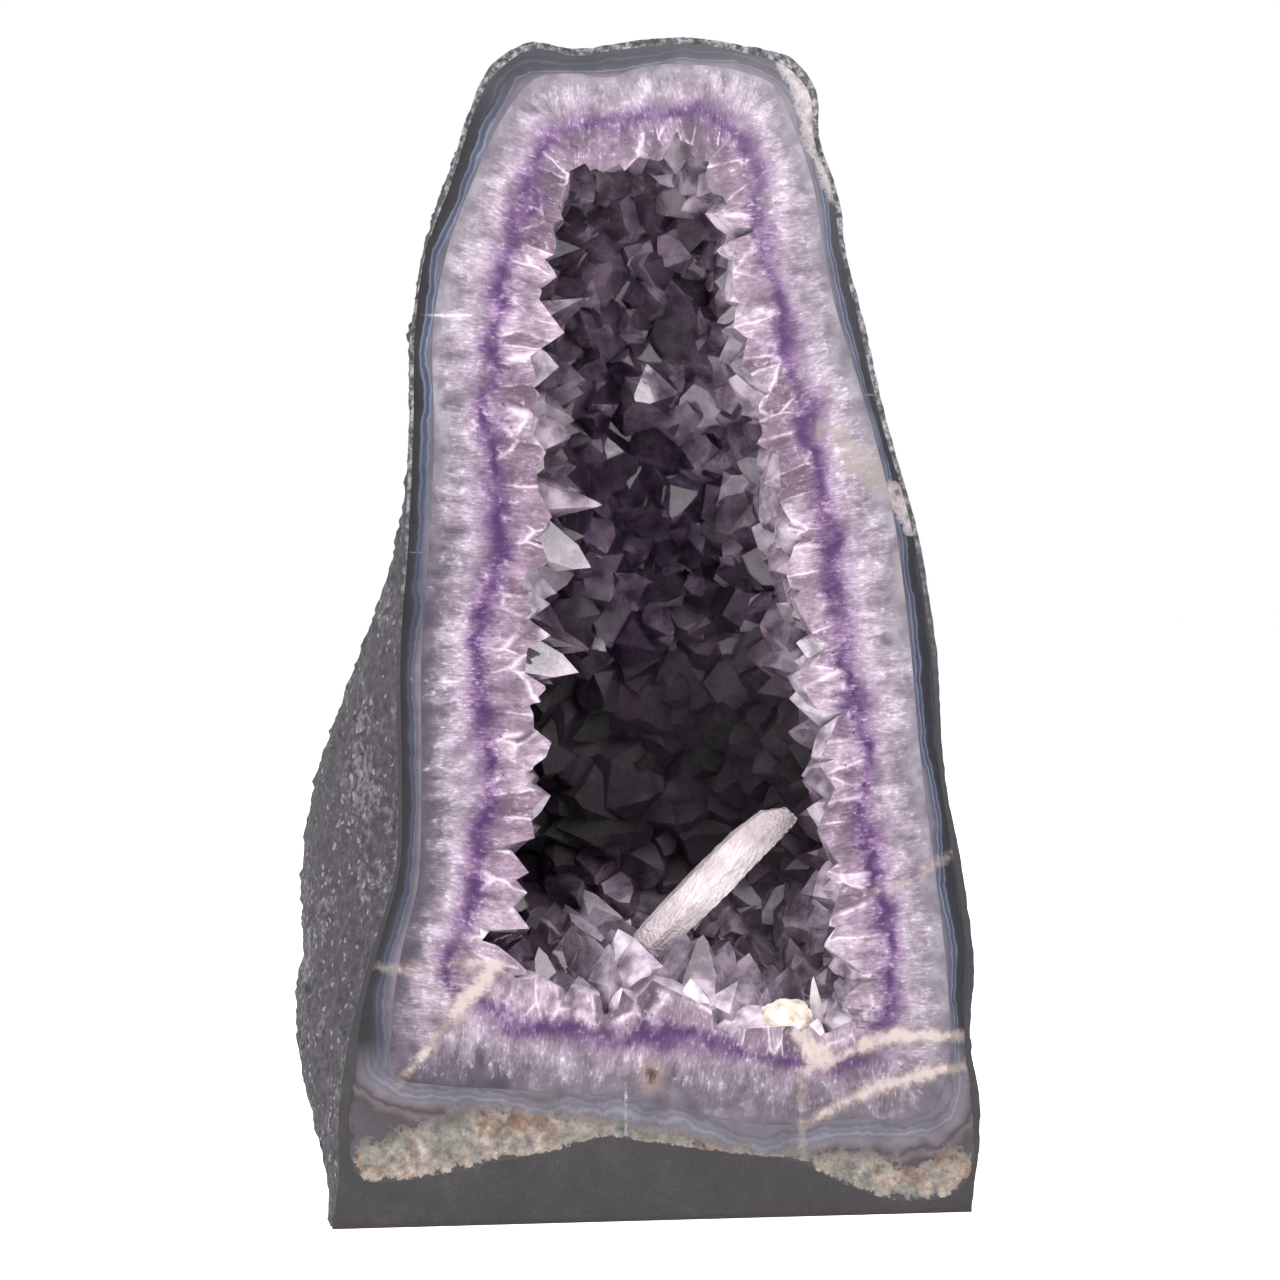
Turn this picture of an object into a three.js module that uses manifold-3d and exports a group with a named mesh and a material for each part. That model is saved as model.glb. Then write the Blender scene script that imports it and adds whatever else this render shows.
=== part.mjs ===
// An amethyst cathedral: a tall geode sawn open down its length, its back and foot cast in dark
// cement so that it stands on a flat base with the sawn face leaning back a little.
//
// A place in the stone is [x, up, deep]: x to the right, up the sawn face from its foot, and deep
// square to the face into the stone. Lengths are millimetres. The finished group has +Z up, the
// face looks along -Y, and the origin is at the middle of the base.

import * as THREE from "three";
import { mergeVertices } from "three/addons/utils/BufferGeometryUtils.js";
import Module from "manifold-3d";

const LEAN = THREE.MathUtils.degToRad(5); // the face leans back from upright
const GAP = 0.35; // clearance left between neighbouring solids, along a ray

// Every layer is measured outwards from an upright spine that lies in the sawn face.
const SPINE = { x: 6, low: 90, high: 325 };
const SIDE_STEPS = 12;
const CROWN_STEPS = 18;
const FOOT_STEPS = 26;
const DEPTH_ANGLES = [0, 13, 28, 44, 60, 76, 90].map(THREE.MathUtils.degToRad);
const FORWARD = 8; // how far a raw bowl reaches in front of the face before it is sawn
const STOCK = 900; // edge of the big blocks that saw the face and the base

// Where the sawn face meets the outside of the cement, clockwise from the lower left.
const CEMENT_EDGE = [
  [-101, -22], [-104, 20], [-103, 46], [-97, 75], [-91, 95], [-84, 119], [-83, 148], [-83, 192],
  [-80, 229], [-78, 266], [-77, 300], [-71.5, 327], [-64, 352], [-56, 376], [-49, 391], [-35, 400],
  [-20, 398], [-4, 400.5], [21, 403], [40, 400.5], [57, 396], [65, 385], [66, 369], [72, 350],
  [75, 328], [80, 307], [88, 270], [98, 233], [104, 190], [106, 150], [112, 113], [115, 85],
  [113, 58], [116, 36], [114, 12], [102, -22],
];

// The outside of the agate rind on the sawn face.
const AGATE_EDGE = [
  [-97, 17], [-100, 35], [-98, 51], [-95, 72], [-89, 94], [-82, 119], [-81, 148], [-81, 192],
  [-78, 229], [-76, 266], [-75, 300], [-71, 327], [-62, 351], [-54, 375], [-47, 388], [-34, 397],
  [-20, 395], [-4, 397.5], [21, 400], [39, 397.5], [54, 393], [62, 384], [63.5, 368], [69.5, 350],
  [72.5, 328], [77.5, 307], [85.5, 270], [95.5, 233], [101.5, 190], [103.5, 150], [109, 113],
  [112, 85], [110.5, 58], [113, 36], [112, 14], [105, 6], [84, 5], [72, 9], [62, 13], [53, 18],
  [27, 22], [-5, 27], [-15, 28], [-33, 23.5], [-50, 21], [-82, 15.5],
];

// The inside of the rind, where the quartz begins.
const QUARTZ_EDGE = [
  [-84, 50], [-85, 70], [-82, 90], [-76, 114], [-74.5, 148], [-74, 190], [-71, 228], [-69, 266],
  [-69, 300], [-64, 327], [-55, 351], [-44, 374], [-33, 387], [-20, 389], [-8, 388], [5, 392],
  [22, 393], [38, 391], [50, 386], [57, 371], [63, 352], [66, 332], [70, 310], [80, 276],
  [89, 238], [94, 195], [97, 155], [102, 110], [105, 78], [105, 52], [98, 34], [70, 32.5],
  [44, 31], [14, 36], [-7, 41], [-42, 44.5], [-72, 47],
];

const QUARTZ_BAND = 21; // massive quartz between the rind and the feet of the crystals
const BACK_THICKNESS = { cement: 10, agate: 9, quartz: 17 }; // straight behind the spine
const BACK_ROUNDNESS = 2.4; // 2 is an ellipse, more is squarer
const SOFTENING = { rays: 7, by: THREE.MathUtils.degToRad(42) }; // corners fade behind the face

const BACK_DEPTH = { foot: 136, crown: 86 }; // depth of the whole stone behind the spine's ends

// The left flank swells behind the face; the right one swells less. Share of the radius.
const SWELL = { left: 0.31, right: 0.05, middle: 140, reach: 120, fade: 4 };
const FLOOR_RISE = 0.5; // the floor of the hollow climbs towards the back

const CRYSTAL = {
  spacing: 35,
  rowAngle: 0.4, // between one row and the next behind it, in radians
  radius: [7.5, 11.5],
  length: [15, 22],
  sunk: 5, // how far a crystal's foot is buried in the quartz
  tilt: 0.28, // most that one leans away from square to the wall, in radians
  pointSlope: 1.27, // height of the six-sided point over its radius
  floorGrowth: { atFace: -0.4, behind: 0.35 }, // how much longer the ones on the floor are
};

const BLADE = {
  foot: [12, 94, 38],
  tip: [57, 137, 30],
  // Radius at shares of the length: it swells in the middle and ends in a blunt tip.
  profile: [[0, 5.8], [0.28, 8.2], [0.6, 8.4], [0.93, 5.2], [1, 3.2]],
  flatness: 0.78,
  roll: 0.5,
};

const NUB = { middle: [49.5, 66, 4], size: [16, 11, 13], roll: 0.35 };

const COLOURS = {
  cement: "#524f54",
  agate: "#6d7086",
  amethyst: "#8a6f96",
  calcite: "#e3dadb",
  cream: "#ead9c0",
};

const wasm = await Module();
wasm.setup();

// Repeatable numbers from 0 to 1.
function seeded(seed) {
  let state = seed;
  return () => {
    state = (state + 0x6d2b79f5) | 0;
    let t = Math.imul(state ^ (state >>> 15), 1 | state);
    t = (t + Math.imul(t ^ (t >>> 7), 61 | t)) ^ t;
    return ((t ^ (t >>> 14)) >>> 0) / 4294967296;
  };
}

const mix = THREE.MathUtils.lerp;
const ease = THREE.MathUtils.smoothstep;

function place(x, up, deep) {
  return new THREE.Vector3(
    x,
    up * Math.sin(LEAN) + deep * Math.cos(LEAN),
    up * Math.cos(LEAN) - deep * Math.sin(LEAN),
  );
}

function smoothLoop(points) {
  const curve = new THREE.CatmullRomCurve3(
    points.map(([x, up]) => new THREE.Vector3(x, up, 0)), true, "centripetal");
  return curve.getPoints(points.length * 8).slice(0, -1);
}

const LOOPS = {
  cement: smoothLoop(CEMENT_EDGE),
  agate: smoothLoop(AGATE_EDGE),
  quartz: smoothLoop(QUARTZ_EDGE),
};

// Distance from a spine point to a loop along a ray in the face.
function reach(loop, ray) {
  const dx = Math.cos(ray.angle);
  const dy = Math.sin(ray.angle);
  let nearest = Infinity;
  loop.forEach((a, i) => {
    const b = loop[(i + 1) % loop.length];
    const ex = b.x - a.x;
    const ey = b.y - a.y;
    const cross = dx * ey - dy * ex;
    if (Math.abs(cross) < 1e-12) return;
    const ax = a.x - SPINE.x;
    const ay = a.y - ray.up;
    const along = (ax * ey - ay * ex) / cross;
    const share = (ax * dy - ay * dx) / cross;
    if (along > 0 && share >= 0 && share <= 1) nearest = Math.min(nearest, along);
  });
  return nearest;
}

// The rays of one turn round the face: up the left side, over the crown, down the right side and
// round the foot. The two sides share their heights, so that a bowl closes along its back.
function sweep() {
  const { low, high } = SPINE;
  const rays = [];
  for (let i = 0; i < SIDE_STEPS; i++)
    rays.push({ up: mix(low, high, i / SIDE_STEPS), angle: Math.PI });
  for (let i = 0; i < CROWN_STEPS; i++)
    rays.push({ up: high, angle: Math.PI * (1 - i / CROWN_STEPS) });
  for (let i = 0; i < SIDE_STEPS; i++)
    rays.push({ up: mix(high, low, i / SIDE_STEPS), angle: 0 });
  for (let i = 0; i < FOOT_STEPS; i++)
    rays.push({ up: low, angle: (-Math.PI * i) / FOOT_STEPS });
  for (const ray of rays) ray.edge = reach(LOOPS.cement, ray);
  rays.forEach((ray, i) => {
    const near = [];
    for (let k = -SOFTENING.rays; k <= SOFTENING.rays; k++)
      near.push(rays[(i + k + rays.length) % rays.length].edge);
    ray.softEdge = near.reduce((sum, edge) => sum + edge) / near.length;
  });
  return rays;
}

function backDepth(up) {
  return THREE.MathUtils.mapLinear(up, SPINE.low, SPINE.high, BACK_DEPTH.foot, BACK_DEPTH.crown);
}

function outerRadius(ray, tilt) {
  const edge = mix(ray.edge, ray.softEdge, ease(tilt, 0, SOFTENING.by));
  const face = edge ** -BACK_ROUNDNESS;
  const back = backDepth(ray.up) ** -BACK_ROUNDNESS;
  const round = (face * Math.cos(tilt) ** BACK_ROUNDNESS
    + back * Math.sin(tilt) ** BACK_ROUNDNESS) ** (-1 / BACK_ROUNDNESS);
  const side = Math.cos(ray.angle);
  const height = 1 - ease(Math.abs(ray.up - SWELL.middle), 0, SWELL.reach);
  const most = side < 0 ? SWELL.left : SWELL.right;
  const swell = most * Math.abs(side) ** SWELL.fade * height;
  return round * (1 + swell * Math.sin(2 * tilt));
}

// 0 for a ray that points sideways or up, 1 for one that points straight down.
function downwards(ray) {
  return ray.angle < 0 ? Math.abs(Math.sin(ray.angle)) : 0;
}

// Distance from the spine to the outside of a layer, along a ray tilted back from the face.
function layerRadius(layer, ray, tilt) {
  const whole = ray.edge;
  const { cement, agate, quartz } = BACK_THICKNESS;
  const [atFace, atBack] = {
    cement: [0, 0],
    agate: [whole - reach(LOOPS.agate, ray), cement],
    quartz: [whole - reach(LOOPS.quartz, ray), cement + agate],
    cavity: [whole - reach(LOOPS.quartz, ray) + QUARTZ_BAND, cement + agate + quartz],
  }[layer];
  const radius = outerRadius(ray, tilt) - mix(atFace, atBack, Math.sin(tilt) ** 2);
  if (layer !== "cavity" || ray.angle >= 0) return radius;
  const climb = FLOOR_RISE * Math.sin(tilt) * Math.abs(Math.cos(tilt)) ** 0.25;
  const floor = (whole - atFace) / (Math.abs(Math.cos(tilt)) + climb);
  return mix(radius, Math.min(radius, floor), ease(downwards(ray), 0, 0.6));
}

function onRay(ray, tilt, radius) {
  const flat = radius * Math.cos(tilt);
  return place(
    SPINE.x + flat * Math.cos(ray.angle), ray.up + flat * Math.sin(ray.angle),
    radius * Math.sin(tilt));
}

function solidOf(geometry) {
  const bare = new THREE.BufferGeometry();
  bare.setAttribute("position", geometry.getAttribute("position"));
  if (geometry.index) bare.setIndex(geometry.index);
  const merged = mergeVertices(bare, 1e-4);
  const corners = merged.index.array;
  const triVerts = [];
  for (let i = 0; i < corners.length; i += 3) {
    const [a, b, c] = corners.subarray(i, i + 3);
    if (a !== b && b !== c && c !== a) triVerts.push(a, b, c);
  }
  return new wasm.Manifold(new wasm.Mesh({
    numProp: 3,
    vertProperties: merged.attributes.position.array,
    triVerts: new Uint32Array(triVerts),
  }));
}

// The stone inside one layer's outside, reaching forward of the face so that it can be sawn.
function bowl(layer, grow = 0) {
  const rays = sweep();
  const forward = place(0, 0, -FORWARD).sub(place(0, 0, 0));
  const rows = [0, ...DEPTH_ANGLES].map((tilt, row) => rays.map((ray) => {
    const point = onRay(ray, tilt, layerRadius(layer, ray, tilt) + grow);
    return row === 0 ? point.add(forward) : point;
  }));
  const count = rays.length;
  const points = rows.flat();
  points.push(place(SPINE.x, (SPINE.low + SPINE.high) / 2, -FORWARD));
  const faces = [];
  for (let i = 0; i < count; i++) {
    const next = (i + 1) % count;
    faces.push(points.length - 1, next, i);
    for (let row = 0; row < rows.length - 1; row++) {
      const [a, b] = [row * count + i, row * count + next];
      faces.push(a, b, a + count, b, b + count, a + count);
    }
  }
  const geometry = new THREE.BufferGeometry().setFromPoints(points);
  geometry.setIndex(faces);
  return solidOf(geometry);
}

function block(middle) {
  const geometry = new THREE.BoxGeometry(STOCK, STOCK, STOCK);
  return solidOf(geometry.rotateX(middle.lean).translate(0, middle.y, middle.z));
}

const behindFace = block({ lean: -LEAN, y: place(0, 0, STOCK / 2).y, z: place(0, 0, STOCK / 2).z });
const aboveBase = block({ lean: 0, y: 0, z: STOCK / 2 });

function crystal(radius, length) {
  const shoulder = Math.max(1, length - radius * CRYSTAL.pointSlope);
  const profile = [[0, -CRYSTAL.sunk], [radius, -CRYSTAL.sunk], [radius, shoulder], [0, length]];
  return new THREE.LatheGeometry(profile.map(([x, y]) => new THREE.Vector2(x, y)), 6);
}

function aimed(geometry, at, direction, roll) {
  const turn = new THREE.Quaternion().setFromUnitVectors(new THREE.Vector3(0, 1, 0), direction);
  return geometry.rotateY(roll).applyQuaternion(turn).translate(at.x, at.y, at.z);
}

// Crystals stand on the cavity wall in rows, each row further behind the face than the last.
function crystals() {
  const random = seeded(7);
  const rays = sweep();
  const made = [];
  for (let deep = 0; deep < Math.PI / 2; deep += CRYSTAL.rowAngle) {
    let walked = CRYSTAL.spacing * random();
    rays.forEach((ray, i) => {
      const next = rays[(i + 1) % rays.length];
      const here = onRay(ray, deep, layerRadius("cavity", ray, deep));
      const there = onRay(next, deep, layerRadius("cavity", next, deep));
      const step = here.distanceTo(there);
      for (; walked < step; walked += CRYSTAL.spacing * mix(0.85, 1.15, random())) {
        const at = here.clone().lerp(there, walked / step);
        const spine = place(SPINE.x, mix(ray.up, next.up, walked / step), 0);
        const inward = spine.sub(at).normalize();
        const lean = new THREE.Vector3(random() - 0.5, random() - 0.5, random() - 0.5);
        inward.addScaledVector(lean, 2 * CRYSTAL.tilt).normalize();
        const radius = mix(...CRYSTAL.radius, random());
        const growth = CRYSTAL.floorGrowth[deep === 0 ? "atFace" : "behind"];
        const length = mix(...CRYSTAL.length, random()) * (1 + growth * downwards(ray));
        made.push(solidOf(aimed(crystal(radius, length), at, inward, random() * Math.PI)));
      }
      walked -= step;
    });
  }
  return made.reduce((all, one) => all.add(one));
}

function blade(grow = 0) {
  const [foot, tip] = [place(...BLADE.foot), place(...BLADE.tip)];
  const length = foot.distanceTo(tip);
  const profile = BLADE.profile.map(([share, radius]) =>
    new THREE.Vector2(radius + grow, share * length));
  profile.unshift(new THREE.Vector2(0, -grow));
  profile.push(new THREE.Vector2(0, length + grow));
  const shape = new THREE.LatheGeometry(profile, 6).scale(1, 1, BLADE.flatness);
  return solidOf(aimed(shape, foot, tip.sub(foot).normalize(), BLADE.roll));
}

function nub(grow = 0) {
  const [wide, high, deep] = NUB.size.map((side) => side + 2 * grow);
  const at = place(...NUB.middle);
  const shape = new THREE.BoxGeometry(wide, deep, high).rotateY(NUB.roll).rotateZ(NUB.roll);
  return solidOf(shape.translate(at.x, at.y, at.z));
}

function mesh(name, solid, colour, roughness) {
  const { vertProperties, triVerts } = solid.getMesh();
  const geometry = new THREE.BufferGeometry();
  geometry.setAttribute("position", new THREE.BufferAttribute(vertProperties, 3));
  geometry.setIndex(new THREE.BufferAttribute(triVerts, 1));
  geometry.computeVertexNormals();
  const material = new THREE.MeshStandardMaterial({ color: colour, roughness, metalness: 0 });
  const made = new THREE.Mesh(geometry, material);
  made.name = name;
  return made;
}

const sawn = (solid) => solid.intersect(behindFace);

const cementJacket = sawn(bowl("cement")).intersect(aboveBase).subtract(bowl("agate", GAP));
const agateRind = sawn(bowl("agate")).subtract(bowl("quartz", GAP));
const wall = bowl("quartz").subtract(bowl("cavity"));
const withinRind = bowl("quartz");
const amethystLining = sawn(wall.add(crystals()).intersect(withinRind))
  .subtract(blade(GAP))
  .subtract(nub(GAP));

const geode = new THREE.Group();
geode.add(
  mesh("cement_jacket", cementJacket, COLOURS.cement, 0.85),
  mesh("agate_rind", agateRind, COLOURS.agate, 0.25),
  mesh("amethyst_lining", amethystLining, COLOURS.amethyst, 0.15),
  mesh("calcite_blade", blade(), COLOURS.calcite, 0.6),
  mesh("cream_calcite", sawn(nub()), COLOURS.cream, 0.5),
);

// The origin goes to the middle of the base.
const extent = new THREE.Box3().setFromObject(geode);
const middle = extent.getCenter(new THREE.Vector3());
geode.position.set(-middle.x, -middle.y, -extent.min.z);

export default geode;
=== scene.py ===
# An amethyst cathedral: a tall geode sawn open down its length and polished on the sawn face, its
# back and foot cast in rough dark cement. From the outside in, the face shows a thin rim of
# cement, a banded agate rind, white fibrous quartz, a violet line, and pale crystals that end in
# points round a dark hollow. A white calcite blade stands in the hollow.
#
# A place in the stone is (x, up, deep) in millimetres: x to the right, up the sawn face from its
# foot, and deep square to the face into the stone. place() turns it into metres in the CAD frame.

import math
import random

import bmesh
import bpy
import numpy as np
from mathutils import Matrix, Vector, noise


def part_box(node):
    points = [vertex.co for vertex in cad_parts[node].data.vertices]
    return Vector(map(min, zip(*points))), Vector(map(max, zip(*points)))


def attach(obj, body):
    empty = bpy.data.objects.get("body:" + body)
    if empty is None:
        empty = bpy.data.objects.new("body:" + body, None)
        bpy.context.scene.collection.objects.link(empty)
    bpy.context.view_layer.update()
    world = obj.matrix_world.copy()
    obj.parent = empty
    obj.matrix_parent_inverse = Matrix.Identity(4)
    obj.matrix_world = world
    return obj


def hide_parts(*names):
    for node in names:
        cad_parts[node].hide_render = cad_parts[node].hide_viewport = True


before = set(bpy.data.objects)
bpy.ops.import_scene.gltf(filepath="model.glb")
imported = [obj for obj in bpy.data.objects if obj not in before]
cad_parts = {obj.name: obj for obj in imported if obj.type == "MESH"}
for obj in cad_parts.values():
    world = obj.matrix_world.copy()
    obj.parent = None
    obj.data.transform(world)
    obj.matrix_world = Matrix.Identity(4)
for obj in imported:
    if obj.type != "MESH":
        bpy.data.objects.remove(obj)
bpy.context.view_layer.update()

MM = 0.001
LEAN = math.radians(5.0)  # the face leans back from upright
EDGE_RIGHT = 116.9  # x of the cement's right edge, which the CAD box gives in its own frame
ORIGIN = Vector((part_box("cement_jacket")[1][0] - EDGE_RIGHT * MM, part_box("cement_jacket")[0][1], 0))
INTO = Vector((0.0, math.cos(LEAN), -math.sin(LEAN)))  # square to the sawn face, into the stone
FACE_AT = ORIGIN.dot(INTO)

# ---------------------------------------------------------------------------------- the outlines

SPINE_X, SPINE_LOW, SPINE_HIGH = 6.0, 90.0, 325.0  # every layer is measured out from this line
FINENESS = 9  # how many rays stand for one ray of the CAD solids
SIDE, CROWN, FOOT = 12 * FINENESS, 18 * FINENESS, 26 * FINENESS

# Where each layer meets the sawn face, clockwise from the lower left.
CEMENT_EDGE = [
    (-101, -22), (-104, 20), (-103, 46), (-97, 75), (-91, 95), (-84, 119), (-83, 148),
    (-83, 192), (-80, 229), (-78, 266), (-77, 300), (-71.5, 327), (-64, 352), (-56, 376),
    (-49, 391), (-35, 400), (-20, 398), (-4, 400.5), (21, 403), (40, 400.5), (57, 396),
    (65, 385), (66, 369), (72, 350), (75, 328), (80, 307), (88, 270), (98, 233), (104, 190),
    (106, 150), (112, 113), (115, 85), (113, 58), (116, 36), (114, 12), (102, -22),
]
AGATE_EDGE = [
    (-97, 17), (-100, 35), (-98, 51), (-95, 72), (-89, 94), (-82, 119), (-81, 148), (-81, 192),
    (-78, 229), (-76, 266), (-75, 300), (-71, 327), (-62, 351), (-54, 375), (-47, 388),
    (-34, 397), (-20, 395), (-4, 397.5), (21, 400), (39, 397.5), (54, 393), (62, 384),
    (63.5, 368), (69.5, 350), (72.5, 328), (77.5, 307), (85.5, 270), (95.5, 233), (101.5, 190),
    (103.5, 150), (109, 113), (112, 85), (110.5, 58), (113, 36), (112, 14), (105, 6), (84, 5),
    (72, 9), (62, 13), (53, 18), (27, 22), (-5, 27), (-15, 28), (-33, 23.5), (-50, 21),
    (-82, 15.5),
]
QUARTZ_EDGE = [
    (-84, 50), (-85, 70), (-82, 90), (-76, 114), (-74.5, 148), (-74, 190), (-71, 228),
    (-69, 266), (-69, 300), (-64, 327), (-55, 351), (-44, 374), (-33, 387), (-20, 389),
    (-8, 388), (5, 392), (22, 393), (38, 391), (50, 386), (57, 371), (63, 352), (66, 332),
    (70, 310), (80, 276), (89, 238), (94, 195), (97, 155), (102, 110), (105, 78), (105, 52),
    (98, 34), (70, 32.5), (44, 31), (14, 36), (-7, 41), (-42, 44.5), (-72, 47),
]
VIOLET_EDGE = [
    (-66, 79), (-60, 101), (-55, 121), (-53, 148), (-53, 195), (-50, 222), (-48, 249),
    (-50, 269), (-48, 291), (-47, 310), (-41, 334), (-35, 351), (-25, 369), (3, 373), (24, 377),
    (39, 366), (44, 349), (47, 322), (54, 291), (59, 270), (65, 242), (69, 218), (71, 191),
    (75, 167), (77, 143), (78, 119), (82, 106), (85, 85), (84, 66), (74, 53), (50, 52),
    (33, 58), (12, 63), (-15, 64), (-35, 67), (-52, 73),
]

BACK_THICKNESS = {"cement": 10.0, "agate": 9.0, "quartz": 17.0}  # straight behind the spine
BACK_ROUNDNESS = 2.4  # 2 is an ellipse, more is squarer
BACK_DEPTH = {"foot": 136.0, "crown": 86.0}
SWELL = {"left": 0.31, "right": 0.05, "middle": 140.0, "reach": 120.0, "fade": 4}
FLOOR_RISE = 0.5  # the floor of the hollow climbs towards the back
SOFTENING_RAYS, SOFTENING_BY = 7 * FINENESS, math.radians(42)
CRYSTAL_BAND = 20.0  # from the violet line to the crystal tips
QUARTZ_BAND = 21.0  # from the rind to the violet line


def place(x, up, deep):
    """A point of the stone, in metres in the CAD frame."""
    return ORIGIN + MM * Vector((
        x,
        up * math.sin(LEAN) + deep * math.cos(LEAN),
        up * math.cos(LEAN) - deep * math.sin(LEAN),
    ))


def places(points):
    """place() for an array whose last axis is (x, up, deep)."""
    x, up, deep = np.moveaxis(points, -1, 0)
    turned = np.stack([
        x,
        up * math.sin(LEAN) + deep * math.cos(LEAN),
        up * math.cos(LEAN) - deep * math.sin(LEAN),
    ], axis=-1)
    return turned * MM + np.array(ORIGIN)


def smoothstep(value, low, high):
    share = np.clip((value - low) / (high - low), 0, 1)
    return share * share * (3 - 2 * share)


def smooth_loop(points, steps=8):
    """A closed centripetal Catmull-Rom curve through the points."""
    b = np.array(points, float)[:, None, :]
    a, c, d = np.roll(b, 1, 0), np.roll(b, -1, 0), np.roll(b, -2, 0)
    first, middle, last = (np.sqrt(np.linalg.norm(q - p, axis=-1, keepdims=True))
                           for p, q in ((a, b), (b, c), (c, d)))
    from_b = ((b - a) / first - (c - a) / (first + middle) + (c - b) / middle) * middle
    into_c = ((c - b) / middle - (d - b) / (middle + last) + (d - c) / last) * middle
    t = (np.arange(steps) / steps)[None, :, None]
    curve = (b + from_b * t + (3 * (c - b) - 2 * from_b - into_c) * t**2
             + (2 * (b - c) + from_b + into_c) * t**3)
    return curve.reshape(-1, 2)


def sweep():
    """Height on the spine and angle of each ray: up the left side, over the crown, down the
    right side and round the foot."""
    climb = np.arange(SIDE) / SIDE * (SPINE_HIGH - SPINE_LOW)
    up = np.concatenate([SPINE_LOW + climb, np.full(CROWN, SPINE_HIGH), SPINE_HIGH - climb,
                         np.full(FOOT, SPINE_LOW)])
    angle = np.concatenate([np.full(SIDE, math.pi), math.pi * (1 - np.arange(CROWN) / CROWN),
                            np.zeros(SIDE), -math.pi * np.arange(FOOT) / FOOT])
    return up, angle


RAY_UP, RAY_ANGLE = sweep()
RAYS = len(RAY_UP)


def reach(points):
    """Distance from the spine to a loop in the face, along each ray."""
    loop = smooth_loop(points)
    start = loop[None, :, :]
    side = np.roll(loop, -1, 0)[None, :, :] - start
    dx, dy = np.cos(RAY_ANGLE)[:, None], np.sin(RAY_ANGLE)[:, None]
    cross = dx * side[..., 1] - dy * side[..., 0]
    cross = np.where(np.abs(cross) < 1e-12, 1e-12, cross)
    ax, ay = start[..., 0] - SPINE_X, start[..., 1] - RAY_UP[:, None]
    along = (ax * side[..., 1] - ay * side[..., 0]) / cross
    share = (ax * dy - ay * dx) / cross
    hit = (along > 0) & (share >= -1e-9) & (share <= 1 + 1e-9)
    return np.where(hit, along, np.inf).min(1)


REACH = {
    "cement": reach(CEMENT_EDGE),
    "agate": reach(AGATE_EDGE),
    "quartz": reach(QUARTZ_EDGE),
    "violet": reach(VIOLET_EDGE),
}
AGATE_LOOP, QUARTZ_LOOP = smooth_loop(AGATE_EDGE), smooth_loop(QUARTZ_EDGE)
SOFT_REACH = np.mean(
    [np.roll(REACH["cement"], k) for k in range(-SOFTENING_RAYS, SOFTENING_RAYS + 1)], axis=0)


def outer_radius(tilt):
    """Distance from the spine to the outside of the stone, for each tilt and ray."""
    tilt = np.asarray(tilt)[:, None]
    edge = REACH["cement"] + (SOFT_REACH - REACH["cement"]) * smoothstep(tilt, 0, SOFTENING_BY)
    share = (RAY_UP - SPINE_LOW) / (SPINE_HIGH - SPINE_LOW)
    back = BACK_DEPTH["foot"] + (BACK_DEPTH["crown"] - BACK_DEPTH["foot"]) * share
    power = BACK_ROUNDNESS
    across = np.abs(np.cos(tilt) / edge) ** power
    behind = np.abs(np.sin(tilt) / back) ** power
    side = np.cos(RAY_ANGLE)
    height = 1 - smoothstep(np.abs(RAY_UP - SWELL["middle"]), 0, SWELL["reach"])
    most = np.where(side < 0, SWELL["left"], SWELL["right"])
    swell = most * np.abs(side) ** SWELL["fade"] * height
    return (across + behind) ** (-1 / power) * (1 + swell * np.sin(2 * np.abs(tilt)))


def layer_radius(layer, tilt):
    """Distance from the spine to the outside of a layer, for each tilt and ray."""
    thickness = BACK_THICKNESS
    at_back = {
        "cement": 0.0,
        "agate": thickness["cement"],
        "quartz": thickness["cement"] + thickness["agate"],
        "violet": sum(thickness.values()),
    }[layer]
    at_face = REACH["cement"] - REACH[layer]
    turn = np.asarray(tilt)[:, None]
    radius = outer_radius(tilt) - at_face - (at_back - at_face) * np.sin(turn) ** 2
    if layer != "violet":
        return radius
    level = np.abs(np.cos(turn))
    floor = REACH["violet"] / (level + FLOOR_RISE * np.sin(turn) * level ** 0.25)
    down = np.where(RAY_ANGLE < 0, smoothstep(np.abs(np.sin(RAY_ANGLE)), 0, 0.6), 0)
    return radius + (np.minimum(radius, floor) - radius) * down


def rows_of(layer, tilts, grow=0.0):
    """Points of a layer's outside, as rows x rays x (x, up, deep)."""
    radius = layer_radius(layer, tilts) + grow
    tilt = np.asarray(tilts)[:, None]
    flat = radius * np.cos(tilt)
    return np.stack([
        SPINE_X + flat * np.cos(RAY_ANGLE),
        RAY_UP + flat * np.sin(RAY_ANGLE),
        radius * np.sin(tilt),
    ], axis=-1)


def ray_number(x, up):
    """Which ray a point of the face lies on, as a number that runs on between the rays."""
    climb = (np.clip(up, SPINE_LOW, SPINE_HIGH) - SPINE_LOW) / (SPINE_HIGH - SPINE_LOW) * SIDE
    crown = np.arctan2(up - SPINE_HIGH, x - SPINE_X)
    foot = np.arctan2(up - SPINE_LOW, x - SPINE_X)
    number = np.where(x < SPINE_X, climb, SIDE + CROWN + (SIDE - climb))
    number = np.where(up > SPINE_HIGH, SIDE + (1 - crown / math.pi) * CROWN, number)
    below = 2 * SIDE + CROWN - foot / math.pi * FOOT
    return np.where(up < SPINE_LOW, below, number) % RAYS


def spine_distance(x, up):
    return np.hypot(x - SPINE_X, up - np.clip(up, SPINE_LOW, SPINE_HIGH))


def on_rays(table, number):
    """A value kept for each ray, at a ray number."""
    return np.interp(number, np.arange(RAYS + 1), np.append(table, table[0]))


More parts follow.
